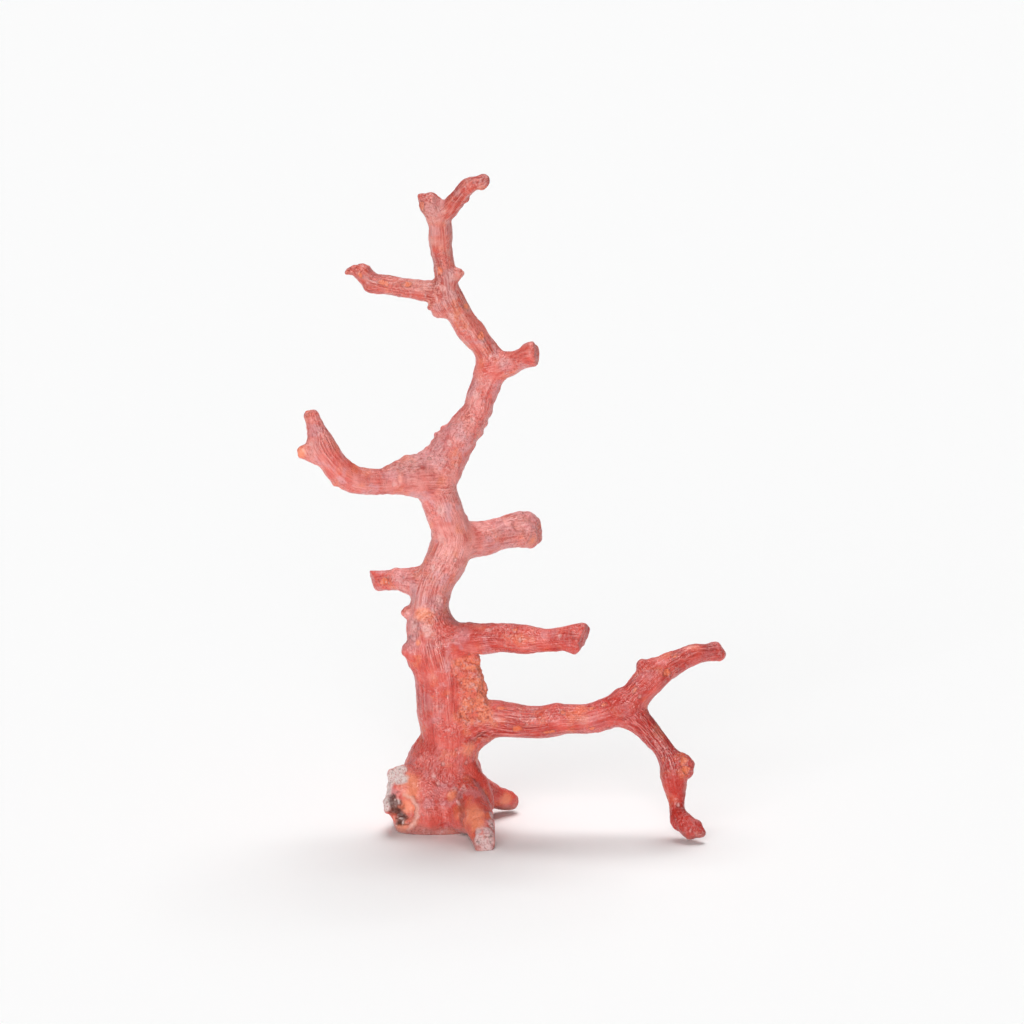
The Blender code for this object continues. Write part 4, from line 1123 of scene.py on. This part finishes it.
class DressedSkin(Skin):
    """The skin with its relief raised, and a colour and roughness for each point."""

    def __init__(self, sizes, colours):
        super().__init__(sizes)
        self.tints = {name: np.array(getattr(colours, name)) for name in SKIN_COLOURS}
        for name, (shares, scale) in MIXED_TINTS.items():
            self.tints[name] = sum(share * self.tints[other] for other, share in shares.items()) * scale
        self.find_marks()
        self.colour()
        self.polish()
        self.raise_relief()
        self.tidy_nodes()

    def find_marks(self):
        """Works out, from 0 to 1, where crust, chalk, bloom, grooves and scars are."""
        self.above_ground = eased(self.points[:, 2], 0.0, 0.7)
        self.streaks = self.grooves(self.sizes.groove_pitch)
        self.bundles = 0.35 + 0.65 * eased(self.pattern("groove_bundles"), -0.1, 0.5)
        self.grains = self.grain_pattern("coarse_grains") + 0.45 * self.grain_pattern("fine_grains")
        self.crust = self.crusted()
        self.chalk = self.patches(CHALK_PATCHES, 0.35)
        self.orange_patches = self.patches(ORANGE_PATCHES, 0.6)
        self.rough_veil = self.patches(VEIL_PATCHES, 0.6)
        self.bare = np.maximum.reduce([self.ribbon(line, "red") for line in RED_LINES])
        self.shaded_crease = np.maximum.reduce([self.ribbon(line, "shaded_crease") for line in SHADED_CREASE_LINES])
        self.crevice = self.ribbon(CREVICE_LINE, "crevice")
        self.ridge = self.ribbon(RIDGE_LINE, "ridge") * (1 - self.crevice)
        self.pale_scars_and_glints = self.scars(PALE_SCARS_AND_GLINTS, HIDDEN_SCARS, "pale")
        self.orange_scars = self.scars(ORANGE_SCARS, HIDDEN_SCARS, "orange")
        self.pits_and_glints = self.scars([(*place, *WHITE_PIT_SIZE) for place in WHITE_PITS_AND_GLINTS], HIDDEN_PITS, "pits_and_glints")
        veil = eased(self.pattern("bloom") + 0.2 * self.streaks, 0.15, 0.75)
        veil *= 0.2 + 0.8 * np.clip(self.paleness, 0, 1)
        self.veil = np.maximum(veil, 0.6 * self.rough_veil)

    def crusted(self):
        """1 on the crusted swelling: inside a leaning box seen from the front, with a rim that wanders."""
        seen = seen_place(self.points)
        edge = self.pattern("crust_rim")
        above = seen[:, 1] - CRUST_MIDDLE[1]
        across = seen[:, 0] - CRUST_MIDDLE[0] + CRUST_LEAN * above
        outside = [
            np.abs(gap) - half_size + wander * edge
            for gap, half_size, wander in zip((across, above), CRUST_HALF_SIZES, CRUST_WANDER)
        ]
        facing = eased(-self.normals[:, 1], -0.5, 0.1)
        return (1 - eased(np.maximum(*outside), -1.2, 1.0)) * facing

    def scars(self, front, hidden_count, kind):
        """Nearness to the closest scar, 1 in its middle and 0 at its rim: the front's, and hidden ones."""
        seed = SCAR_SEEDS[kind]
        chance = np.random.default_rng(seed)
        seats = self.seats([scar[:2] for scar in front])
        sizes = [(SCAR_SCALE * width, SCAR_SCALE * length) for *_, width, length in front]
        behind = (self.normals[:, 1] > FACING_AWAY) & (self.points[:, 2] > HIDDEN_FROM_HEIGHT)
        seats += chance.choice(np.flatnonzero(behind), hidden_count).tolist()
        for width in chance.uniform(*HIDDEN_WIDTHS, hidden_count):
            sizes.append((width, width * chance.uniform(*HIDDEN_STRETCH)))
        nearness = np.zeros(len(self.points))
        wander = SCAR_WANDER * layered_noise(self.points, SCAR_WANDER_SIZE, seed)
        for seat, (half_width, half_length) in zip(seats, sizes):
            spread = self.scar(seat, half_width, half_length) + wander
            nearness = np.maximum(nearness, 1 - spread)
        return np.clip(nearness, 0, 1)

    def layered(self, colour, layers):
        """A colour with tints laid over it in order, each by its own weight for each point."""
        for tint, weight in layers:
            colour = mixed(colour, self.tints[tint], weight)
        return colour

    def colour(self):
        """Salmon to red by limb, blotched and streaked, then weathered, scarred and crusted, with painted
        shade in the creases and the foot's crevice, and browner near the ground.
        """
        points, grains, tints = self.points, self.grains, self.tints
        tone = self.paleness + 0.2 * self.pattern("broad_tone") + 0.3 * self.pattern("fine_tone")
        skin = [
            ("middle", eased(tone, -0.1, 0.42)),
            ("pale", eased(tone, 0.35, 1.05)),
            ("orange", 0.45 * eased(self.pattern("orange_blotches"), 0.1, 0.8)),
            ("deep", 0.4 * eased(self.pattern("red_blotches"), 0.1, 0.8)),
            ("deep", 0.45 * eased(self.streaks + self.pattern("red_streaks"), 0.3, 1.2)),
            ("deep", 0.6 * self.bare),
            # Painted shade along the creases.
            ("shade", 0.4 * self.shaded_crease),
            ("veil", 0.6 * self.veil),
            ("shade", 0.2 * self.rough_veil * eased(-grains, 0.3, 1.0)),
        ]
        marks = [
            ("shade", 0.4 * rim_of(self.orange_scars)),
            ("shade", 0.5 * rim_of(self.pits_and_glints)),
            ("orange", 0.7 * eased(self.orange_scars, 0.1, 0.7)),
            # Pale scars and white pit marks: partly painted highlights.
            ("scar", 0.6 * eased(self.pale_scars_and_glints, 0.0, 0.7)),
            ("scar", 0.7 * eased(self.pits_and_glints, 0.2, 0.9)),
            ("warm_patch", 0.9 * self.orange_patches),
        ]
        crust = [
            ("rust", eased(-grains, 0.1, 0.9)),
            ("scar", 0.15 + 0.6 * eased(grains, 0.25, 0.9)),
            ("middle", 0.6 * eased(self.pattern("crust_salmon"), 0.1, 0.6)),
            ("shade", 0.6 * eased(-grains - 0.3 * self.pattern("crust_dirt"), 0.6, 1.1)),
        ]
        chalk = [
            ("pinkish_chalk", 0.4 * eased(points[:, 0], 0, 6)),
            ("veil", 0.5 * eased(grains, 0.2, 0.9)),
            ("shade", 0.75 * eased(-grains - 0.4 * self.pattern("chalk_dirt"), 0.45, 1.0)),
        ]
        crevice_shade_and_chalk = [
            ("shadow_black", eased(-grains, 0.1, 0.7)),
            ("chalk", 0.85 * eased(grains, 0.35, 0.8)),
        ]
        skirt = 1 - eased(points[:, 2] + 0.9 * self.pattern("skirt_rim"), 0.6, 3.2)
        colour = self.layered(tints["deep"], skin)
        colour = colour * (1 + eased(points[:, 2], WEATHERED_FROM, WEATHERED_TO)[:, None] * WEATHERING)
        colour = colour * (1 + (self.streaks * self.bundles)[:, None] * STREAK_TINT)
        colour = self.layered(colour, marks)
        colour = mixed(colour, self.layered(tints["orange"], crust), 0.9 * self.crust)
        colour = mixed(colour, tints["cream"], 0.7 * self.ridge)
        colour = mixed(colour, self.layered(tints["chalk"], chalk), 0.95 * self.chalk)
        # Painted shade in the foot's crevice: a dark colour, near black in the low grains, with chalk
        # specks on the high ones.
        colour = mixed(colour, self.layered(tints["shade"], crevice_shade_and_chalk), 0.9 * self.crevice)
        colour = mixed(colour, tints["brown_rim"], 0.7 * skirt * (1 - self.chalk))
        self.tint = np.clip(colour, 0, 1)

    def polish(self):
        """How rough each point is, and how much the material's fine grooves and grains show there."""
        scarred = np.maximum(eased(self.orange_scars, 0.0, 0.3), eased(self.pale_scars_and_glints, 0.0, 0.3))
        covered = np.maximum.reduce([self.crust, self.chalk, 0.8 * self.orange_patches, 0.7 * scarred])
        above_foot = 0.35 + 0.65 * eased(self.points[:, 2], 8, 20)
        self.grooved = np.clip(self.bundles * (1 - covered), 0, 1) * above_foot
        granular = 0.15 + 0.85 * eased(self.pattern("grainy_areas"), -0.35, 0.45)
        granular *= 1 - 0.6 * np.maximum(self.bare, self.orange_patches)
        self.granular = np.clip(granular + self.crust + 0.8 * self.chalk, 0, 1)
        rough = 0.25 + 0.07 * self.pattern("gloss") + 0.35 * np.maximum(self.crust, self.chalk)
        rough += 0.06 * (self.granular - 0.5) + 0.08 * self.veil
        self.roughness = np.clip(rough, 0.18, 0.8)

    def raise_relief(self):
        """Moves each point along its normal, by its lumps, wrinkles, grooves, scars and grains together."""
        sizes, grains = self.sizes, self.grains
        wrinkles = np.abs(self.grain_pattern("wrinkles"))
        wrinkles += 0.5 * np.abs(self.grain_pattern("fine_wrinkles"))
        wrinkled = eased(self.pattern("wrinkled_areas"), -0.5, 0.6)
        smooth = 1 - np.maximum(self.crust, self.chalk)
        scars = {"pale": self.pale_scars_and_glints, "orange": self.orange_scars, "pits_and_glints": self.pits_and_glints}
        parts = {
            "small_lumps": self.pattern("small_lumps"),
            "tooth": self.grain_pattern("tooth"),
            "wrinkles": (0.3 - np.clip(wrinkles, 0, 1)) * wrinkled,
            "scar_rim": sum(rim_of(nearness) for nearness in scars.values()),
            "bloom_grains": self.rough_veil * (grains + self.pattern("bloom_lumps")),
            "chalk_grains": self.chalk * grains,
            "crevice_grains": self.crevice * grains,
            "ridge": self.ridge,
            "crevice": self.crevice,
            "shaded_crease": self.shaded_crease,
        }
        height = sizes.lump_height * self.pattern("lumps")
        height = height + sizes.groove_depth * self.streaks * self.bundles * smooth
        height += sizes.crust_height * self.crust * (grains + self.pattern("crust_lumps"))
        height += sum(HEIGHTS[name] * part for name, part in parts.items())
        for kind, nearness in scars.items():
            height -= SCAR_DEPTHS[kind] * eased(nearness, 0.2, 0.8)
        self.points = self.points + self.normals * (height * self.above_ground)[:, None]
        self.points[:, 2] = np.maximum(self.points[:, 2], 0)
        self.normals = point_normals(self.points, self.quads)

    def tidy_nodes(self):
        """Gives each quad to one piece, with no islands, and no point where a piece only touches itself."""
        self.quad_node = self.node[self.quads].min(axis=1)
        ends = edges_of(self.quads)
        order = np.lexsort((ends[:, 1], ends[:, 0]))
        pairs = (order // 4).reshape(-1, 2)
        shared = ends[order[::2]]
        for turn in range(TIDY_TURNS):
            favour = -1 if turn % 4 > 1 else 1
            if not (self.join_islands(pairs) or self.open_pinches(pairs, shared, favour)):
                return

    def join_islands(self, pairs):
        """Gives each island of a piece to the piece round it, and says whether there was any."""
        label = self.islands(pairs)
        sizes = np.bincount(label, minlength=len(label))
        largest = np.zeros(len(self.node_names), int)
        np.maximum.at(largest, self.quad_node, sizes[label])
        stray = sizes[label] < largest[self.quad_node]
        found = bool(stray.any())
        for _ in range(ISLAND_RINGS):
            for here, there in ((0, 1), (1, 0)):
                touching = pairs[stray[pairs[:, here]] & ~stray[pairs[:, there]]]
                self.quad_node[touching[:, here]] = self.quad_node[touching[:, there]]
                stray[touching[:, here]] = False
        return found

    def open_pinches(self, pairs, shared, favour):
        """Gives all quads round a point where two borders cross to one piece, and says if there was any.

        It is the first of their pieces where favour is 1, and the last where it is -1.
        """
        border = self.quad_node[pairs[:, 0]] != self.quad_node[pairs[:, 1]]
        crossing = np.bincount(shared[border].ravel(), minlength=len(self.points)) > 2
        pinched = crossing[self.quads].any(axis=1)
        least = np.full(len(self.points), len(self.node_names))
        np.minimum.at(least, self.quads[pinched].ravel(), np.repeat(favour * self.quad_node[pinched], 4))
        nearby = np.where(crossing[self.quads], least[self.quads], len(self.node_names)).min(axis=1)
        self.quad_node[pinched] = favour * nearby[pinched]
        return bool(pinched.any())

    def islands(self, pairs):
        """The same number for all quads that hang together within one piece."""
        joined = pairs[self.quad_node[pairs[:, 0]] == self.quad_node[pairs[:, 1]]]
        return hanging_together(len(self.quads), joined)

    def piece(self, node):
        """One piece's values at its points, its quads, and the fans of triangles that close its cuts."""
        which = self.node_names.index(node)
        mine = self.quad_node == which
        quads = self.quads[mine]
        directed = np.stack([quads, np.roll(quads, -1, axis=1)], axis=-1).reshape(-1, 2)
        key = np.sort(directed, axis=1) @ np.array([len(self.points), 1])
        _, inverse, counts = np.unique(key, return_inverse=True, return_counts=True)
        border = directed[counts[inverse] == 1]
        used, local = np.unique(quads, return_inverse=True)
        number = np.full(len(self.points), -1)
        number[used] = np.arange(len(used))
        values = {name: value[used] for name, value in self.point_values().items()}
        fans = []
        for loop in border_loops(border):
            rim = number[loop[:, 0]]
            middle = np.full(len(loop), len(values["points"]))
            fans.append(np.column_stack([number[loop[:, 1]], rim, middle]))
            values = {name: np.append(v, v[rim].mean(axis=0)[None], axis=0) for name, v in values.items()}
        return values, local.reshape(-1, 4), np.vstack(fans)

    def point_values(self):
        """Everything that a piece keeps for each of its points."""
        fine = np.array([1, 1, GRAIN_STRETCH]) / self.sizes.groove_pitch
        places = self.grain_places * fine
        return {
            "points": self.points,
            "normals": self.normals,
            "tint": np.column_stack([self.tint, np.ones(len(self.points))]),
            "polish": np.column_stack([self.roughness, self.grooved, self.granular]),
            "grain_shares": self.grain_shares,
            **dict(zip(GRAIN_ATTRIBUTES, places)),
        }


def border_loops(border):
    """Directed border edges, sorted into those that hang together end to start."""
    names, ends = np.unique(border, return_inverse=True)
    ends = ends.reshape(-1, 2)
    loop_of = hanging_together(len(names), ends)[ends[:, 0]]
    return [border[loop_of == loop] for loop in np.unique(loop_of)]


# The skin that was worked out last, by the sizes and colours that it was worked out for.
_skins = {}


def dressed_skin(scene):
    """The dressed skin for the scene's sizes and colours, worked out once."""
    sizes, colours = scene.coral_sizes, scene.coral_colours
    key = (
        tuple(getattr(sizes, name) for name in CoralSizes.__annotations__),
        tuple(tuple(getattr(colours, name)) for name in CoralColours.__annotations__),
    )
    if key not in _skins:
        _skins.clear()
        _skins[key] = DressedSkin(sizes, colours)
    return _skins[key]


class Shading:
    """Builds a material's nodes one after the other, each from values or from other nodes' outputs."""

    def __init__(self, name):
        self.material = bpy.data.materials.new(name)
        self.material.use_nodes = True
        self.tree = self.material.node_tree
        self.shader = self.tree.nodes["Principled BSDF"]
        self.column, self.row = FIRST_NODE

    def put(self, socket, value):
        """Links a socket to another node's output, or sets its value."""
        if isinstance(value, bpy.types.NodeSocket):
            self.tree.links.new(value, socket)
        else:
            socket.default_value = value

    def node(self, kind, inputs=(), **settings):
        """A node of a kind, with its settings, and its inputs given by name or number."""
        node = self.tree.nodes.new("ShaderNode" + kind)
        node.location = (self.column, self.row)
        self.column += NODE_STEP
        for name, value in settings.items():
            setattr(node, name, value)
        for name, value in dict(inputs).items():
            self.put(node.inputs[name], value)
        return node

    def attribute(self, name, output):
        """An output of one of the mesh's attributes."""
        return self.node("Attribute", attribute_name=name).outputs[output]

    def separated(self, name):
        """The three numbers of a vector attribute."""
        return self.node("SeparateXYZ", {0: self.attribute(name, "Vector")}).outputs

    def math(self, operation, a, b, c=0.0):
        """The result of an operation on two or three numbers."""
        return self.node("Math", {0: a, 1: b, 2: c}, operation=operation).outputs[0]

    def noise(self, vector, scale, detail):
        """Noise from 0 to 1."""
        inputs = {"Vector": vector, "Scale": scale, "Detail": detail}
        return self.node("TexNoise", inputs).outputs["Fac"]

    def ramped(self, value, low, high, most=1.0):
        """A value stretched, so that low gives 0 and high the most, and held between them."""
        inputs = {"Value": value, "From Min": low, "From Max": high, "To Min": 0.0, "To Max": most}
        return self.node("MapRange", inputs).outputs["Result"]

    def blend(self, kind, weight, colour, other):
        """A colour blended with another by a weight."""
        node = self.node("Mix", data_type="RGBA", blend_type=kind)
        self.put(node.inputs["Factor"], weight)
        self.put(node.inputs[6], colour)
        self.put(node.inputs[7], other)
        return node.outputs[2]


def coral_material():
    """Satin coral: growth grooves that run with the limbs, red in their beds and filmed on their ridges,
    the paler ridges partly a painted highlight.

    The grooves are stretched noise in each limb's straightened section. Where limbs meet, the noises of
    the grain families are mixed by their shares. Grains and specks are noise in Object coordinates.
    """
    make = Shading("coral_satin")
    where = make.node("TexCoord").outputs["Object"]
    roughness, grooved, granular = make.separated("polish")
    groove = 0.0
    for name, share in zip(GRAIN_ATTRIBUTES, make.separated("grain_shares")):
        streak = make.noise(make.attribute(name, "Vector"), GROOVE_SCALE, 0.6)
        groove = make.math("MULTIPLY_ADD", streak, share, groove)
    ridge = make.ramped(groove, 0.38, 0.62)
    bed = make.math("MULTIPLY", make.ramped(groove, 0.5, 0.34), grooved)
    crest = make.math("MULTIPLY", make.ramped(groove, 0.5, 0.66), grooved)
    specks = make.noise(where, SPECK_SCALE, 4.0)
    grains = make.noise(where, GRAIN_SCALE, 1.0)
    film_and_highlight = make.math("MULTIPLY", make.ramped(make.noise(where, GRAIN_SCALE, 4.0), 0.5, 0.7, 0.44), granular)
    # Painted shade: the specks darken the small dips that they also press into the bump.
    dark = make.math("MULTIPLY", make.ramped(specks, 0.52, 0.34), granular)
    colour = make.attribute("tint", "Color")
    colour = make.blend("MULTIPLY", make.math("MULTIPLY", bed, 0.95), colour, GROOVE_BED)
    # Paler crests: bloom, and partly a painted highlight along the ridges.
    colour = make.blend("MIX", make.math("MULTIPLY", crest, 0.38), colour, GROOVE_CREST_BLOOM_AND_HIGHLIGHT)
    # A pale coat on the grains: bloom, and partly painted highlights.
    colour = make.blend("MIX", film_and_highlight, colour, GRAIN_BLOOM_AND_HIGHLIGHT)
    colour = make.blend("MULTIPLY", dark, colour, SPECK_SHADE)
    rough = make.math("MULTIPLY_ADD", specks, 0.15, roughness)
    rough = make.math("MULTIPLY_ADD", crest, -0.12, rough)
    height = make.math("MULTIPLY", make.math("MULTIPLY", ridge, grooved), 0.17)
    height = make.math("MULTIPLY_ADD", make.math("MULTIPLY", grains, granular), 0.3, height)
    height = make.math("MULTIPLY_ADD", specks, 0.2, height)
    bump = make.node("Bump", {"Strength": 1.0, "Distance": MM, "Height": height})
    settings = {
        "Base Color": colour,
        "Roughness": rough,
        "Normal": bump.outputs["Normal"],
        "IOR": 1.5,
        "Sheen Weight": 0.22,
        "Sheen Roughness": 0.35,
        "Sheen Tint": SHEEN_TINT,
    }
    for name, value in settings.items():
        make.put(make.shader.inputs[name], value)
    return make.material


def mesh_of(name, points, quads, triangles):
    """A mesh of quads and triangles, put in as whole arrays."""
    mesh = bpy.data.meshes.new(name)
    mesh.vertices.add(len(points))
    mesh.vertices.foreach_set("co", (points * MM).astype(np.float32).ravel())
    corners = np.concatenate([quads.ravel(), triangles.ravel()]).astype(np.int32)
    mesh.loops.add(len(corners))
    mesh.loops.foreach_set("vertex_index", corners)
    starts = np.concatenate([np.arange(len(quads)) * 4, len(quads) * 4 + np.arange(len(triangles)) * 3])
    mesh.polygons.add(len(starts))
    mesh.polygons.foreach_set("loop_start", starts.astype(np.int32))
    mesh.update(calc_edges=True)
    return mesh


def coral_piece(node, context):
    """Puts a piece of the coral's skin in place of the CAD node of that name."""
    values, quads, fans = dressed_skin(context.scene).piece(node)
    mesh = mesh_of(node + "_skin", values.pop("points"), quads, fans)
    normals = values.pop("normals")
    for name, value in values.items():
        kind, field = ("FLOAT_COLOR", "color") if name == "tint" else ("FLOAT_VECTOR", "vector")
        attribute = mesh.attributes.new(name, kind, "POINT")
        attribute.data.foreach_set(field, value.astype(np.float32).ravel())
    mesh.materials.append(bpy.data.materials.get("coral_satin") or coral_material())
    mesh.shade_smooth()
    mesh.normals_split_custom_set_from_vertices(normals)
    piece = bpy.data.objects.new(node + "_skin", mesh)
    context.scene.collection.objects.link(piece)
    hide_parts(node)
    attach(piece, ROOT_BODY)


class CORAL_OT_grow_foot(bpy.types.Operator):
    """Grow the holdfast, cut off flat where it stood on rock"""

    bl_idname = "coral.grow_foot"
    bl_label = "Grow Foot"

    def execute(self, context):
        coral_piece("holdfast", context)
        return {"FINISHED"}


class CORAL_OT_grow_stem(bpy.types.Operator):
    """Grow the stem, in one piece from each fork to the next"""

    bl_idname = "coral.grow_stem"
    bl_label = "Grow Stem"

    def execute(self, context):
        for node in ("lower_stem", "middle_stem", "upper_stem", "crown_stem", "top_branch"):
            coral_piece(node, context)
        return {"FINISHED"}


class CORAL_OT_grow_upper_branches(bpy.types.Operator):
    """Grow the branches of the crown and the left arm"""

    bl_idname = "coral.grow_upper_branches"
    bl_label = "Grow Upper Branches"

    def execute(self, context):
        for node in ("top_tip", "crown_left_branch", "upper_right_stub", "left_arm"):
            coral_piece(node, context)
        return {"FINISHED"}


class CORAL_OT_grow_broken_branches(bpy.types.Operator):
    """Grow the three branches of the middle stem that end in old breaks"""

    bl_idname = "coral.grow_broken_branches"
    bl_label = "Grow Broken Branches"

    def execute(self, context):
        for node in ("right_stub", "left_stub", "right_branch"):
            coral_piece(node, context)
        return {"FINISHED"}


class CORAL_OT_grow_lower_arm(bpy.types.Operator):
    """Grow the long lower arm with its rising and its dropping branch"""

    bl_idname = "coral.grow_lower_arm"
    bl_label = "Grow Lower Arm"

    def execute(self, context):
        for node in ("lower_arm", "lower_arm_rise", "lower_arm_drop"):
            coral_piece(node, context)
        return {"FINISHED"}


def aimed(obj, place, target):
    """Puts an object at a place, in metres, with its -Z axis on a target."""
    obj.location = place
    obj.rotation_euler = (Vector(target) - Vector(place)).to_track_quat("-Z", "Y").to_euler()
    return obj


def hang_lamps(scene):
    """Distant lamps, each with light as soft as a panel's that fills its angle."""
    for name, place, strength, angle, lights_matt in LAMPS:
        lamp = bpy.data.lights.new(name, "SUN")
        lamp.energy = strength
        lamp.angle = math.radians(angle)
        obj = bpy.data.objects.new(name, lamp)
        obj.visible_diffuse = lights_matt
        scene.collection.objects.link(aimed(obj, place, (0, 0, 0)))


def set_camera(scene):
    """The camera that sees the places of the tables as they are given."""
    data = bpy.data.cameras.new("front_camera")
    data.sensor_width = SENSOR_WIDTH
    data.lens = SENSOR_WIDTH * LOOK_FROM / PICTURE_WIDTH
    data.clip_start, data.clip_end = CLIP_START, CLIP_END
    camera = bpy.data.objects.new("front_camera", data)
    scene.collection.objects.link(camera)
    aim = Vector((LOOK_AT_ACROSS, 0, LOOK_AT_HEIGHT / math.cos(LOOK_DOWN))) * MM
    back = Vector((0, -math.cos(LOOK_DOWN), math.sin(LOOK_DOWN))) * LOOK_FROM * MM
    scene.camera = aimed(camera, aim + back, aim)


class CORAL_OT_dress_stage(bpy.types.Operator):
    """Lay the pale floor, and set the soft lights and the camera"""

    bl_idname = "coral.dress_stage"
    bl_label = "Dress Stage"

    def execute(self, context):
        lay_floor(context.scene)
        light_room(context.scene)
        hang_lamps(context.scene)
        set_camera(context.scene)
        return {"FINISHED"}


def lay_floor(scene):
    """A flat square sheet in the floor's colour."""
    reach = FLOOR_REACH
    corners = [(-reach, -reach, 0), (reach, -reach, 0), (reach, reach, 0), (-reach, reach, 0)]
    mesh = bpy.data.meshes.new("floor")
    mesh.from_pydata(corners, [], [(0, 1, 2, 3)])
    material = bpy.data.materials.new("floor_paper")
    material.use_nodes = True
    shader = material.node_tree.nodes["Principled BSDF"]
    shader.inputs["Base Color"].default_value = (*scene.coral_colours.floor, 1)
    shader.inputs["Roughness"].default_value = 1.0
    shader.inputs["Specular IOR Level"].default_value = 0.0
    mesh.materials.append(material)
    floor = bpy.data.objects.new("floor", mesh)
    scene.collection.objects.link(floor)


def light_room(scene):
    """An even white room round the stage."""
    room = bpy.data.worlds.new("white_room")
    room.use_nodes = True
    background = room.node_tree.nodes["Background"]
    background.inputs["Color"].default_value = (1, 1, 1, 1)
    background.inputs["Strength"].default_value = ROOM_STRENGTH
    scene.world = room
    scene.view_settings.view_transform = "Standard"


class CORAL_PT_tools(bpy.types.Panel):
    """The sizes, the colours and the steps, in the 3D view's sidebar"""

    bl_label = "Red Coral"
    bl_idname = "CORAL_PT_tools"
    bl_space_type = "VIEW_3D"
    bl_region_type = "UI"
    bl_category = "Red Coral"

    def draw(self, context):
        layout = self.layout
        for settings in (context.scene.coral_sizes, context.scene.coral_colours):
            box = layout.box()
            for name in settings.__annotations__:
                box.prop(settings, name)
        for step in STEPS:
            layout.operator(step.bl_idname)


STEPS = (
    CORAL_OT_grow_foot,
    CORAL_OT_grow_stem,
    CORAL_OT_grow_upper_branches,
    CORAL_OT_grow_broken_branches,
    CORAL_OT_grow_lower_arm,
    CORAL_OT_dress_stage,
)
CLASSES = (CoralSizes, CoralColours, *STEPS, CORAL_PT_tools)


def register():
    for each in CLASSES:
        bpy.utils.register_class(each)
    bpy.types.Scene.coral_sizes = bpy.props.PointerProperty(type=CoralSizes)
    bpy.types.Scene.coral_colours = bpy.props.PointerProperty(type=CoralColours)


def unregister():
    del bpy.types.Scene.coral_colours
    del bpy.types.Scene.coral_sizes
    for each in reversed(CLASSES):
        bpy.utils.unregister_class(each)


def main():
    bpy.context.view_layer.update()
    register()
    bpy.ops.coral.grow_foot()
    bpy.ops.coral.grow_stem()
    bpy.ops.coral.grow_upper_branches()
    bpy.ops.coral.grow_broken_branches()
    bpy.ops.coral.grow_lower_arm()
    bpy.ops.coral.dress_stage()


if __name__ == "__main__":
    main()
